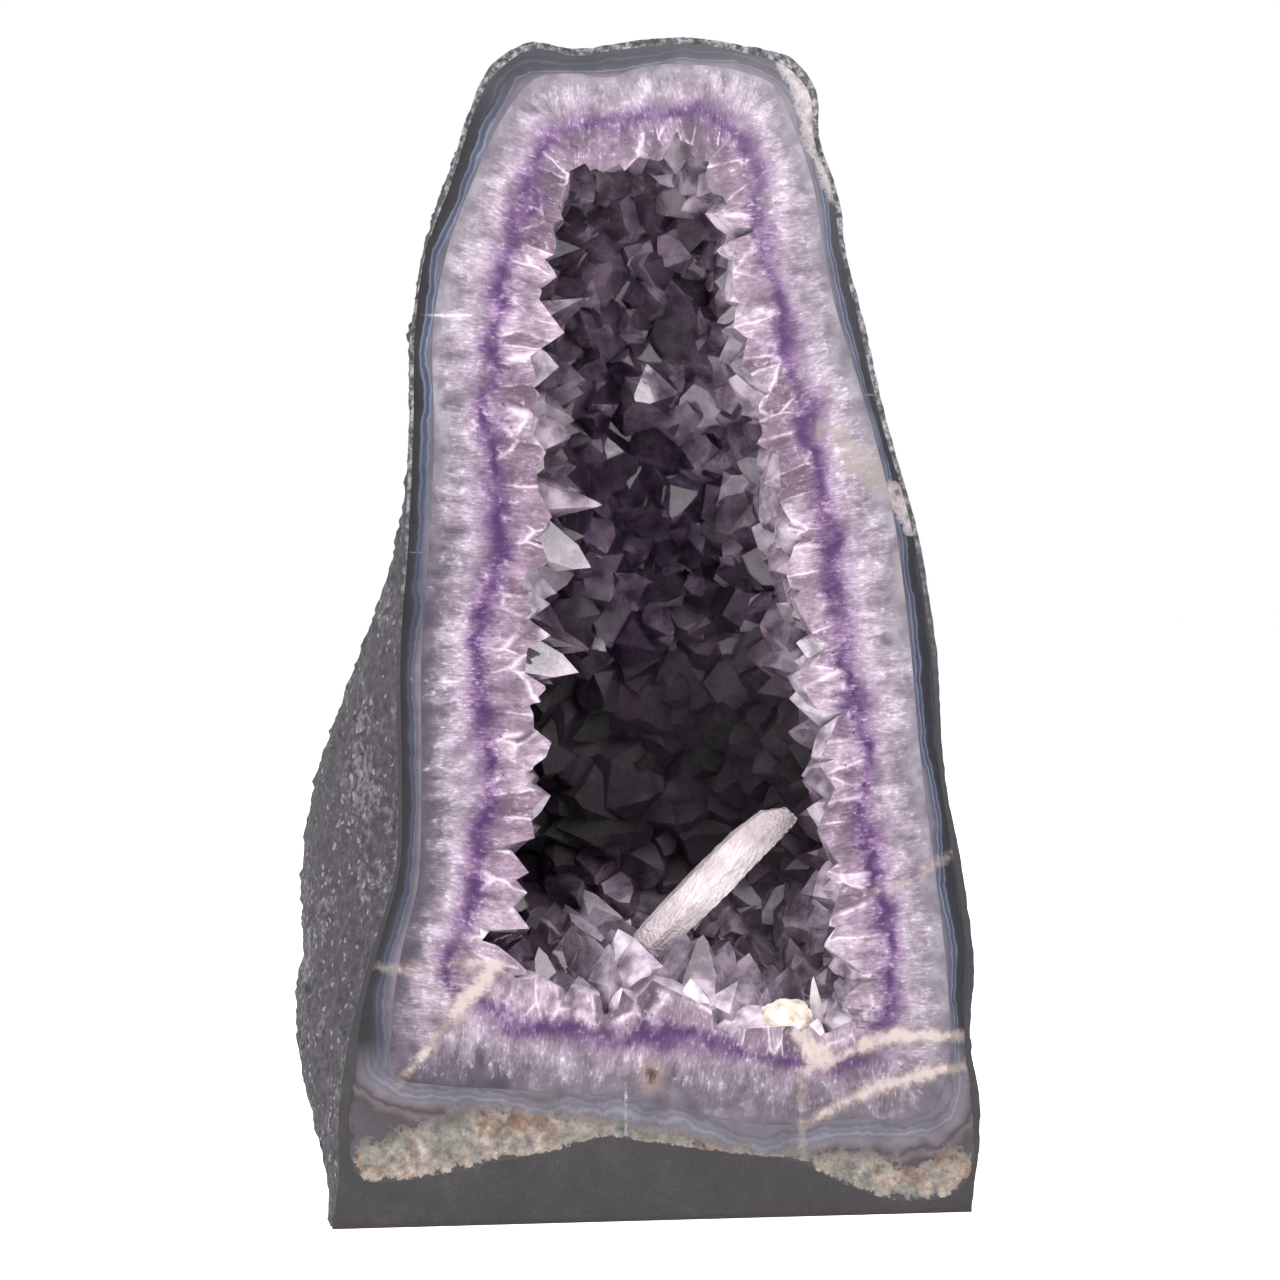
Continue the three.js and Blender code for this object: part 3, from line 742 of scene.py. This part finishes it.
def violet_root():
    """The quartz under the crystals, seen only through them: deep violet and dull."""
    material, t = new_material("violet_root")
    place_in = add(t, "TexCoord", out="Object")
    cloud = add(t, NOISE, Vector=place_in, Scale=180.0, Detail=4.0)
    colour = add(t, RAMP, cloud, stops=[(0.35, "#2a1f33"), (0.5, "#5b4a68"), (0.65, "#a898b0")])
    show(t, add(t, "BsdfPrincipled", Base_Color=colour, Roughness=0.6))
    return material


def amethyst():
    """Amethyst crystals: clear violet quartz with cloudy veils in it and bright natural faces.
    Each flat face gets a brightness of its own, at random from the way it faces, which is painted
    shade. By the sawn face and on the floor of the hollow they are pale, and deeper in the hollow
    and under the crown they are darker, which is painted shade."""
    material, t = new_material("amethyst")
    place_in = add(t, "TexCoord", out="Object")
    into = add(t, "VectorMath.DOT_PRODUCT", place_in, INTO, out="Value")
    height = add(t, "SeparateXYZ", place_in, out=2)
    cloud = add(t, NOISE, Vector=place_in, Scale=120.0, Detail=5.0, Roughness=0.6)
    # painted shade: each flat face of a crystal gets its own brightness from a noise of its normal
    facet = add(t, NOISE, Vector=add(t, "NewGeometry", out="True Normal"), Scale=5.0)
    # painted shade: the crystals are darker with depth behind the sawn face and under the crown
    by_face = add(t, RANGE, into, FACE_AT, FACE_AT + 50 * MM, 1.0, 0.0)
    # painted shade: left of the middle and past the sawn face the crystals are darkened
    leftward = add(t, RANGE, add(t, "SeparateXYZ", place_in), -5 * MM, -30 * MM)
    past_face = add(t, RANGE, into, FACE_AT + 1 * MM, FACE_AT + 8 * MM)
    left_painted_shade = add(t, TIMES, leftward, past_face)
    on_floor = add(t, RANGE, height, 0.125, 0.095, 0.0, 0.75)
    under_crown = add(t, RANGE, height, 0.33, 0.355, 1.0, 0.7)
    pale = add(t, LARGER, add(t, TIMES, by_face, under_crown), on_floor)
    # low behind the face the crystals are dull, and darkened as painted shade in the recess, from a few
    # crystals above the floor
    drift = add(t, NOISE, Vector=place_in, Scale=45.0, Detail=1.0)
    about = swayed(t, height, drift, 25 * MM)
    below = add(t, RANGE, about, 0.215, 0.165, interpolation_type="SMOOTHSTEP")
    above = add(t, RANGE, about, 0.095, 0.13, interpolation_type="SMOOTHSTEP")
    behind = add(t, RANGE, into, FACE_AT + 18 * MM, FACE_AT + 40 * MM)
    cave_dull_and_shade = add(t, TIMES, add(t, TIMES, below, above), behind)
    dull = add(t, RANGE, cave_dull_and_shade, 0.0, 1.0, 0.07, 0.8)
    uneven = add(t, RANGE, cloud, 0.35, 0.65, 0.7, 1.2)
    milk = add(t, TIMES, add(t, RANGE, pale, 0.0, 1.0, 0.65, 0.85), uneven, use_clamp=True)
    clear = add(t, "BsdfPrincipled", Base_Color=srgb("#efe4f2"), Roughness=dull, IOR=1.544,
        Transmission_Weight=1.0)
    veil_and_depth_shade = add(t, RAMP, pale, stops=[(0.0, "#77677a"), (0.35, "#998899"), (0.7, "#c6b6c6"),
        (1.0, "#e8dce7")])
    shade = add(t, RAMP, cloud, stops=[(0.36, "#8d8390"), (0.6, "#ffffff")])
    facet_shade = add(t, RAMP, facet, stops=[(0.4, "#4b444d"), (0.5, "#857d87"), (0.58, "#ffffff")])
    facet_shade_share = add(t, RANGE, pale, 0.0, 1.0, 0.95, 0.45)
    ripples = add(t, "Bump", Strength=0.25, Distance=0.4 * MM, Height=cloud)
    colour = layered(t, veil_and_depth_shade, (0.7, shade, "MULTIPLY"), (facet_shade_share, facet_shade, "MULTIPLY"),
        (left_painted_shade, "#8a7d89", "MULTIPLY"), (cave_dull_and_shade, "#7d6673", "MULTIPLY"))
    milky = add(t, "BsdfPrincipled", Base_Color=colour, Roughness=dull, IOR=1.544, Normal=ripples)
    surface = add(t, "MixShader", milk, clear, milky)
    # 20 mm of it lets through about two fifths of the light, least of the green
    volume = add(t, "VolumeAbsorption", srgb("#a173b3"), 70.0)
    show(t, surface, volume)
    return material


def white_calcite():
    """White calcite under a crust of tiny crystals, like sugar: bright, soft and glinting."""
    material, t = new_material("white_calcite")
    place_in = add(t, "TexCoord", out="Object")
    sugar = add(t, CELLS, Vector=place_in, Scale=1100.0)
    cloud = add(t, NOISE, Vector=place_in, Scale=90.0, Detail=4.0)
    colour = add(t, RAMP, cloud, stops=[(0.35, "#a89ea2"), (0.5, "#c2b8bb"), (0.65, "#d6cdd0")])
    bump = add(t, "Bump", Strength=0.6, Distance=0.5 * MM, Height=sugar)
    show(t, add(t, "BsdfPrincipled", Base_Color=colour, Roughness=0.45, IOR=1.5,
        Subsurface_Weight=0.4, Subsurface_Radius=(1.0, 0.9, 0.9), Subsurface_Scale=2 * MM,
        Normal=bump))
    return material


def cream_calcite():
    """Cream calcite: dull and grainy, warmer than the blade."""
    material, t = new_material("cream_calcite")
    place_in = add(t, "TexCoord", out="Object")
    cloud = add(t, NOISE, Vector=place_in, Scale=220.0, Detail=5.0)
    colour = add(t, RAMP, cloud, stops=[(0.32, "#9d8e80"), (0.45, "#c6bbae"), (0.65, "#dad2c9")])
    bump = add(t, "Bump", Strength=0.6, Distance=0.6 * MM, Height=cloud)
    show(t, add(t, "BsdfPrincipled", Base_Color=colour, Roughness=0.5, Normal=bump,
        Subsurface_Weight=0.3, Subsurface_Radius=(1.0, 0.8, 0.6), Subsurface_Scale=2 * MM))
    return material


# ------------------------------------------------------------------------------------ the pieces

CLEARANCE = 0.05  # left between neighbouring pieces
CRYSTALS_SAWN_AT = 0.06  # behind the sawn face
HABITS = 14  # how many crystals of different shape are grown over and over


def tilts(steps, start=0.0):
    return np.radians(np.linspace(start, 90, steps))


def cast_relief(stack, first_outer):
    """Lumps 10 to 30 mm wide, and knobs and grit 2 to 5 mm wide, over the outside of the
    cement."""
    for row in range(first_outer, len(stack)):
        fade = min(1.0, (row - first_outer + 1) / 3)
        for ray in range(RAYS):
            p = stack[row, ray]
            at = Vector(p)
            lump = noise.fractal(at / 26, 0.9, 2.1, 3)
            grit = noise.fractal(at / 4.2, 0.8, 2.2, 3)
            knob = max(0.0, noise.noise(at / 5.5) - 0.3)
            depth = fade * (0.9 * (lump - 1.1) + 1.1 * grit + 3.5 * knob - 0.9)
            spine = np.array([SPINE_X, RAY_UP[ray], 0.0])
            away = p - spine
            stack[row, ray] = p + away / np.linalg.norm(away) * depth
    return stack


def build_cement_jacket():
    rough, sawn = cast_cement(), sawn_cement()
    jacket = shell(
        "cement_jacket_cast", rows_of("cement", tilts(96)),
        rows_of("agate", tilts(9), CLEARANCE), 3, [sawn, rough, rough], cast_relief)
    work = bmesh.new()
    work.from_mesh(jacket.data)
    below = bmesh.ops.bisect_plane(
        work, geom=work.verts[:] + work.edges[:] + work.faces[:], plane_co=(0, 0, 0),
        plane_no=(0, 0, -1), clear_outer=True, dist=1e-7)
    cut = [e for e in below["geom_cut"] if isinstance(e, bmesh.types.BMEdge)]
    base = bmesh.ops.contextual_create(work, geom=cut)["faces"]
    for face in base:
        face.material_index = 1
    bmesh.ops.recalc_face_normals(work, faces=work.faces)
    work.to_mesh(jacket.data)
    work.free()
    shade_smooth(jacket, {1})
    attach(jacket, "root")
    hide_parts("cement_jacket")


def build_agate_rind():
    agate = banded_agate()
    rind = shell("agate_rind_sawn", rows_of("agate", tilts(9)),
                 rows_of("quartz", tilts(9), CLEARANCE), 16, [agate, agate, agate])
    give_pattern(rind, agate_pattern)
    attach(rind, "root")
    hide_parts("agate_rind")


def crystal_habit(number):
    """One quartz crystal, 1 high and 1 across: six sides of uneven width under a six-sided
    point with three large faces and three small ones."""
    rng = random.Random(number)
    work = bmesh.new()
    bmesh.ops.create_cube(work, size=6)
    slope = math.radians(40.0)  # between a point's face and the crystal's length
    planes = [((0, 0, -1), 0.25)]
    for k in range(6):
        turn = math.radians(60 * k + rng.uniform(-4, 4))
        side = (math.cos(turn), math.sin(turn))
        planes.append(((*side, 0.06), rng.uniform(0.42, 0.56)))
        normal = (side[0] * math.cos(slope), side[1] * math.cos(slope), math.sin(slope))
        lift = rng.uniform(-0.03, 0.05) if k % 2 else rng.uniform(-0.22, 0.0)
        planes.append((normal, math.sin(slope) * (1 + lift)))
    for normal, distance in planes:
        normal = Vector(normal).normalized()
        geometry = work.verts[:] + work.edges[:] + work.faces[:]
        cut = bmesh.ops.bisect_plane(work, geom=geometry, plane_co=normal * distance,
                                     plane_no=normal, clear_outer=True)["geom_cut"]
        edges = [e for e in cut if isinstance(e, bmesh.types.BMEdge)]
        if edges:
            bmesh.ops.contextual_create(work, geom=edges)
    bmesh.ops.remove_doubles(work, verts=work.verts, dist=1e-3)
    bmesh.ops.recalc_face_normals(work, faces=work.faces)
    mesh = mesh_of(f"crystal_habit_{number}", work)
    return bpy.data.objects.new(mesh.name, mesh)


def saw_block():
    """The stone behind the saw cut, with its front in 2.5 mm squares that carry the pattern."""
    low, high = (-95.0, 20.0), (115.0, 400.0)
    cell, depth = 2.5, 190.0
    work = bmesh.new()
    counts = [round((b - a) / cell) for a, b in zip(low, high)]
    bmesh.ops.create_grid(work, x_segments=counts[0], y_segments=counts[1], size=0.5)
    for v in work.verts:
        v.co = place(low[0] + (v.co.x + 0.5) * (high[0] - low[0]),
                     low[1] + (v.co.y + 0.5) * (high[1] - low[1]), CRYSTALS_SAWN_AT)
    away = place(0, 0, depth) - place(0, 0, 0)
    for v in bmesh.ops.extrude_face_region(work, geom=work.faces[:])["geom"]:
        if isinstance(v, bmesh.types.BMVert):
            v.co += away
    bmesh.ops.recalc_face_normals(work, faces=work.faces)
    return bpy.data.objects.new("saw_block", mesh_of("saw_block", work))


def crystal_tree(material, habits, bed, block):
    """Grows crystals on the surface it is given, joins them and the bed that they stand in
    into one solid, and saws that solid along the block's front."""
    t = bpy.data.node_groups.new("crystal_growth", "GeometryNodeTree")
    face = t.interface
    face.new_socket("Wall", in_out="INPUT", socket_type="NodeSocketGeometry")
    for name, value in (("Spacing", 10.2 * MM), ("Width", 20.5 * MM), ("Length", 22.8 * MM),
                        ("Unevenness", 0.4), ("Tilt", 0.4), ("Floor At Face", 0.72),
                        ("Floor Behind", 1.35), ("Swell At Face", 0.4), ("Swell Behind", 0.75),
                        ("Ledge", 0.75)):
        face.new_socket(name, in_out="INPUT", socket_type="NodeSocketFloat").default_value = value
    face.new_socket("Seed", in_out="INPUT", socket_type="NodeSocketInt").default_value = 5
    face.new_socket("Crystals", in_out="OUTPUT", socket_type="NodeSocketGeometry")
    given = t.nodes.new("NodeGroupInput").outputs
    scatter = add(t, "GeometryNodeDistributePointsOnFaces", given["Wall"],
        Distance_Min=given["Spacing"], Density_Max=60000.0, Seed=given["Seed"], out="Points",
        distribute_method="POISSON")
    # by the sawn face the crystals lie along it, and behind it they stand off the wall, but
    # never lean away from the face
    normal = scatter.node.outputs["Normal"]
    place_at = add(t, "GeometryNodeInputPosition")
    deep = add(t, MINUS, add(t, "VectorMath.DOT_PRODUCT", place_at, INTO, out="Value"), FACE_AT)
    facing = add(t, "VectorMath.DOT_PRODUCT", normal, INTO, out="Value")
    off_face = add(t, TIMES, add(t, SMALLER, facing, 0.0),
        add(t, RANGE, deep, 3 * MM, 20 * MM, -1.0, 0.0))
    outward = add(t, TIMES_PLUS, add(t, LARGER, facing, 0.0),
        add(t, RANGE, deep, 3 * MM, 12 * MM, -1.0, -1.6), off_face)
    growing_to = add(t, "VectorMath.MULTIPLY_ADD", INTO,
        add(t, "CombineXYZ", outward, outward, outward), normal)
    upright = add(t, "FunctionNodeAlignRotationToVector", Vector=growing_to, axis="Z")
    tilt_low = add(t, TIMES, given["Tilt"], -1.0)
    lowest = add(t, "CombineXYZ", tilt_low, tilt_low, -3.1)
    highest = add(t, "CombineXYZ", given["Tilt"], given["Tilt"], 3.1)
    lean = add(t, "FunctionNodeRandomValue", lowest, highest, Seed=11, data_type="FLOAT_VECTOR")
    turned = add(t, "FunctionNodeRotateRotation", upright,
        add(t, "FunctionNodeEulerToRotation", lean), rotation_space="LOCAL")
    thinnest = add(t, MINUS, 1.0, given["Unevenness"])
    thickest = add(t, PLUS, 1.0, given["Unevenness"])
    girth = add(t, "FunctionNodeRandomValue", at={2: thinnest, 3: thickest}, Seed=12, out=1,
        data_type="FLOAT")
    growth = add(t, "FunctionNodeRandomValue", at={2: 0.74, 3: 1.06}, Seed=13, out=1,
        data_type="FLOAT")
    # on the left, where the stone swells behind the face, they are longer by a share of their
    # length, most so in a ledge behind the face above the cave, and on the floor they are
    # short at the face and long behind it
    height = add(t, "SeparateXYZ", place_at, out=2)
    leftward = add(t, RANGE, add(t, "SeparateXYZ", place_at), -30 * MM, 20 * MM, 1.0, 0.0)
    off_swell = add(t, WITHOUT_SIGN, add(t, MINUS, height, SWELL["middle"] * MM))
    swell = add(t, TIMES, add(t, RANGE, off_swell, 0.0, SWELL["reach"] * MM, 1.0, 0.0),
        add(t, RANGE, deep, 3 * MM, 20 * MM, given["Swell At Face"], given["Swell Behind"]))
    in_ledge = add(t, TIMES, add(t, RANGE, height, 150 * MM, 175 * MM, 0.0, given["Ledge"]),
        add(t, RANGE, height, 340 * MM, 290 * MM))
    ledge_depth = add(t, TIMES, add(t, RANGE, deep, 4 * MM, 16 * MM),
        add(t, RANGE, deep, 50 * MM, 32 * MM))
    longer = add(t, TIMES_PLUS, in_ledge, ledge_depth, swell)
    on_wall = add(t, TIMES_PLUS, leftward, longer, 1.0)
    on_floor = add(t, RANGE, deep, 2 * MM, 24 * MM, given["Floor At Face"], given["Floor Behind"])
    upwards = add(t, RANGE, add(t, "SeparateXYZ", normal, out=2), 0.35, 0.8)
    by_place = add(t, "Mix", upwards, at={2: on_wall, 3: on_floor}, data_type="FLOAT")
    wide = add(t, TIMES, girth, given["Width"])
    tall = add(t, TIMES, growth, add(t, TIMES, given["Length"], by_place))
    size = add(t, "CombineXYZ", wide, wide, tall)
    kinds = add(t, "GeometryNodeCollectionInfo", habits, Separate_Children=True,
        Reset_Children=True)
    grown = add(t, "GeometryNodeInstanceOnPoints", scatter, Instance=kinds, Pick_Instance=True,
        Rotation=turned, Scale=size)
    bed_in = add(t, "GeometryNodeObjectInfo", bed, out="Geometry")
    block_in = add(t, "GeometryNodeObjectInfo", block, out="Geometry")
    joined = add(t, "GeometryNodeMeshBoolean", Mesh_2=grown, operation="UNION", solver="MANIFOLD")
    t.links.new(bed_in, joined.node.inputs["Mesh 2"])
    sawn = add(t, "GeometryNodeMeshBoolean", Mesh_2=joined, operation="INTERSECT",
        solver="MANIFOLD")
    t.links.new(block_in, sawn.node.inputs["Mesh 2"])
    real = add(t, "GeometryNodeRealizeInstances", sawn)
    finished = add(t, "GeometryNodeSetMaterial", real, Material=material)
    add(t, "NodeGroupOutput", finished)
    return t


def build_amethyst_lining():
    quartz, root, crystal = sawn_quartz(), violet_root(), amethyst()
    wall = shell("quartz_wall", rows_of("quartz", tilts(9)),
                 rows_of("violet", tilts(30)), 20, [quartz, quartz, root])
    give_pattern(wall, quartz_pattern)
    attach(wall, "root")
    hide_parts("amethyst_lining")

    # the wall that crystals grow on starts 9 degrees in front of the face, so that the saw
    # cuts through crystals too, and a bed 5.5 mm thick joins their feet
    over = tilts(34, -9)
    bed = shell("crystal_bed", rows_of("violet", over, 1.5), rows_of("violet", over, -4.0), 2,
                [crystal] * 3)
    surface = rows_of("violet", over)
    growing = mesh_object("amethyst_crystals", places(surface).reshape(-1, 3),
                          grid_faces(len(surface))[:, ::-1].tolist())
    work = bmesh.new()
    work.from_mesh(growing.data)
    bmesh.ops.remove_doubles(work, verts=work.verts, dist=2e-6)
    work.to_mesh(growing.data)
    work.free()
    habits = bpy.data.collections.new("crystal_habits")
    for number in range(HABITS):
        habits.objects.link(crystal_habit(number))
    tree = crystal_tree(crystal, habits, bed, saw_block())
    modifier = growing.modifiers.new("growth", "NODES")
    modifier.node_group = tree
    evaluated = growing.evaluated_get(bpy.context.evaluated_depsgraph_get())
    mesh = bpy.data.meshes.new_from_object(evaluated)
    growing.modifiers.clear()
    growing.data = mesh
    mesh.materials.clear()
    mesh.materials.append(crystal)
    mesh.materials.append(quartz)
    deep = to_stone(mesh)[:, 2]
    for face in mesh.polygons:
        face.use_smooth = False
        sawn = all(abs(deep[v] - CRYSTALS_SAWN_AT) < 0.01 for v in face.vertices)
        face.material_index = int(sawn)
    give_pattern(growing, quartz_pattern)
    bpy.data.objects.remove(bed)
    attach(growing, "root")
    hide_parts("amethyst_lining")


BLADE_FOOT, BLADE_TIP = (12.5, 96.5, 38), (56, 139.5, 30)
# share of the length, half width in mm and how far the ring stands aside, to the lower right
BLADE_PROFILE = [(-0.13, 7.2, 0), (0, 8.0, 0), (0.35, 8.8, 0), (0.68, 8.4, 0),
                 (0.88, 7.2, 0.8), (1, 3.8, 3.4)]
BLADE_TURN = 38  # degrees about its length, which puts one ridge towards the front
BLADE_FLATNESS = 0.78
SUGAR_GRAIN, SUGAR_DEPTH = 0.9 * MM, 0.5 * MM


def build_calcite_blade():
    foot, tip = place(*BLADE_FOOT), place(*BLADE_TIP)
    axis = tip - foot
    turn = Vector((0, 1, 0)).rotation_difference(axis)
    lower_right = INTO.cross(axis).normalized()
    work = bmesh.new()
    rings = []
    for share, radius, aside in BLADE_PROFILE:
        ring = []
        for k in range(6):
            angle = math.radians(60 * k + BLADE_TURN)
            flat = Vector((math.sin(angle) * radius, 0,
                           math.cos(angle) * radius * BLADE_FLATNESS)) * MM
            corner = foot + turn @ flat + axis * share + lower_right * aside * MM
            ring.append(work.verts.new(corner))
        rings.append(ring)
    for low, high in zip(rings, rings[1:]):
        for k in range(6):
            work.faces.new((low[k], low[k - 1], high[k - 1], high[k]))
    work.faces.new(rings[0])
    work.faces.new(rings[-1])
    bmesh.ops.recalc_face_normals(work, faces=work.faces)
    bmesh.ops.subdivide_edges(work, edges=work.edges, cuts=12, use_grid_fill=True)
    bmesh.ops.triangulate(work, faces=[f for f in work.faces if len(f.verts) > 4])
    work.normal_update()
    for v in work.verts:
        v.co -= v.normal * SUGAR_DEPTH * (1 + noise.noise(v.co / SUGAR_GRAIN))
    blade = object_of("calcite_blade_sugary", work, white_calcite())
    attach(blade, "root")
    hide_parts("calcite_blade")


def build_cream_calcite():
    low, high = (Vector(c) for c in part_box("cream_calcite"))
    work = bmesh.new()
    bmesh.ops.create_icosphere(work, subdivisions=5, radius=1)
    middle, half = (low + high) / 2, (high - low) / 2
    for v in work.verts:
        swell = 0.88 + 0.12 * noise.noise(v.co * 1.8) + 0.05 * noise.noise(v.co * 7.0)
        v.co = middle + Vector(a * b for a, b in zip(v.co * swell, half))
    lump = object_of("cream_calcite_lump", work, cream_calcite())
    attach(lump, "root")
    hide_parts("cream_calcite")


POINT_AT, POINT_WIDTH, POINT_HEIGHT = (61, 66, 8), 4.0, 17.0


def build_calcite_point():
    """The one small white crystal that stands up beside the cream calcite."""
    mesh = crystal_habit(3).data
    for v in mesh.vertices:
        x, y, z = v.co
        v.co = place(*POINT_AT) + MM * Vector((
            x * POINT_WIDTH - z * 1.5, y * POINT_WIDTH, z * POINT_HEIGHT))
    point = bpy.data.objects.new("calcite_point", mesh)
    bpy.context.scene.collection.objects.link(point)
    mesh.materials.append(bpy.data.materials["white_calcite"])
    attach(point, "root")


# ------------------------------------------------------------------------------------ the studio

def build_camera():
    azimuth, elevation, distance = math.radians(-9.5), math.radians(1.0), 1.350
    back = Vector((math.sin(azimuth) * math.cos(elevation),
                   -math.cos(azimuth) * math.cos(elevation), math.sin(elevation)))
    target = Vector((ORIGIN.x, ORIGIN.y + 0.015, 0.1945))
    data = bpy.data.cameras.new("camera")
    data.sensor_width, data.lens = 36.0, 112.3
    camera = bpy.data.objects.new("camera", data)
    bpy.context.scene.collection.objects.link(camera)
    camera.location = target + back * distance
    camera.rotation_mode = "QUATERNION"
    camera.rotation_quaternion = (-back).to_track_quat("-Z", "Y")
    bpy.context.scene.camera = camera


def build_floor():
    work = bmesh.new()
    bmesh.ops.create_circle(work, cap_ends=True, segments=96, radius=12.0)
    material, t = new_material("white_paper")
    floor = object_of("floor", work, material)
    show(t, add(t, "BsdfPrincipled", Base_Color=(0.93, 0.93, 0.93, 1), Roughness=0.8,
        Specular_IOR_Level=0.1, Emission_Color=(1, 1, 1, 1), Emission_Strength=0.5))


def softbox(name, at, aim, size, power):
    data = bpy.data.lights.new(name, "AREA")
    data.shape, data.size, data.size_y, data.energy = "RECTANGLE", *size, power
    data.color = (1.0, 0.96, 0.985)
    lamp = bpy.data.objects.new(name, data)
    bpy.context.scene.collection.objects.link(lamp)
    lamp.location = at
    lamp.rotation_mode = "QUATERNION"
    lamp.rotation_quaternion = (Vector(aim) - Vector(at)).to_track_quat("-Z", "Y")


def build_light():
    """White paper behind and under the stone, a darker room in front, and large soft boxes."""
    world = bpy.data.worlds.new("studio")
    world.use_nodes = True
    bpy.context.scene.world = world
    t = world.node_tree
    t.nodes.clear()
    toward = add(t, "SeparateXYZ", add(t, "TexCoord", out="Generated"), out="Y")
    behind = add(t, RANGE, toward, -0.35, 0.45, 0.3, 1.0)
    seen = add(t, "LightPath", out="Is Camera Ray")
    strength = add(t, LARGER, behind, seen)
    backdrop = add(t, "Background", (1, 1, 1, 1), strength)
    add(t, "OutputWorld", backdrop)
    softbox("key", (0.7, -1.35, 1.25), (0, 0, 0.2), (0.9, 0.9), 19)
    softbox("fill", (-1.3, -1.1, 0.6), (0, 0, 0.2), (0.8, 1.2), 14)
    softbox("top", (0, -0.75, 2.0), (0, 0.1, 0.1), (2.0, 1.6), 30)
    softbox("back", (0, 1.2, 2.4), (0, 0.3, 0), (4.0, 2.5), 50)


build_camera()
build_cement_jacket()
build_agate_rind()
build_amethyst_lining()
build_calcite_blade()
build_cream_calcite()
build_calcite_point()
build_floor()
build_light()
bpy.context.scene.view_settings.view_transform = "Standard"
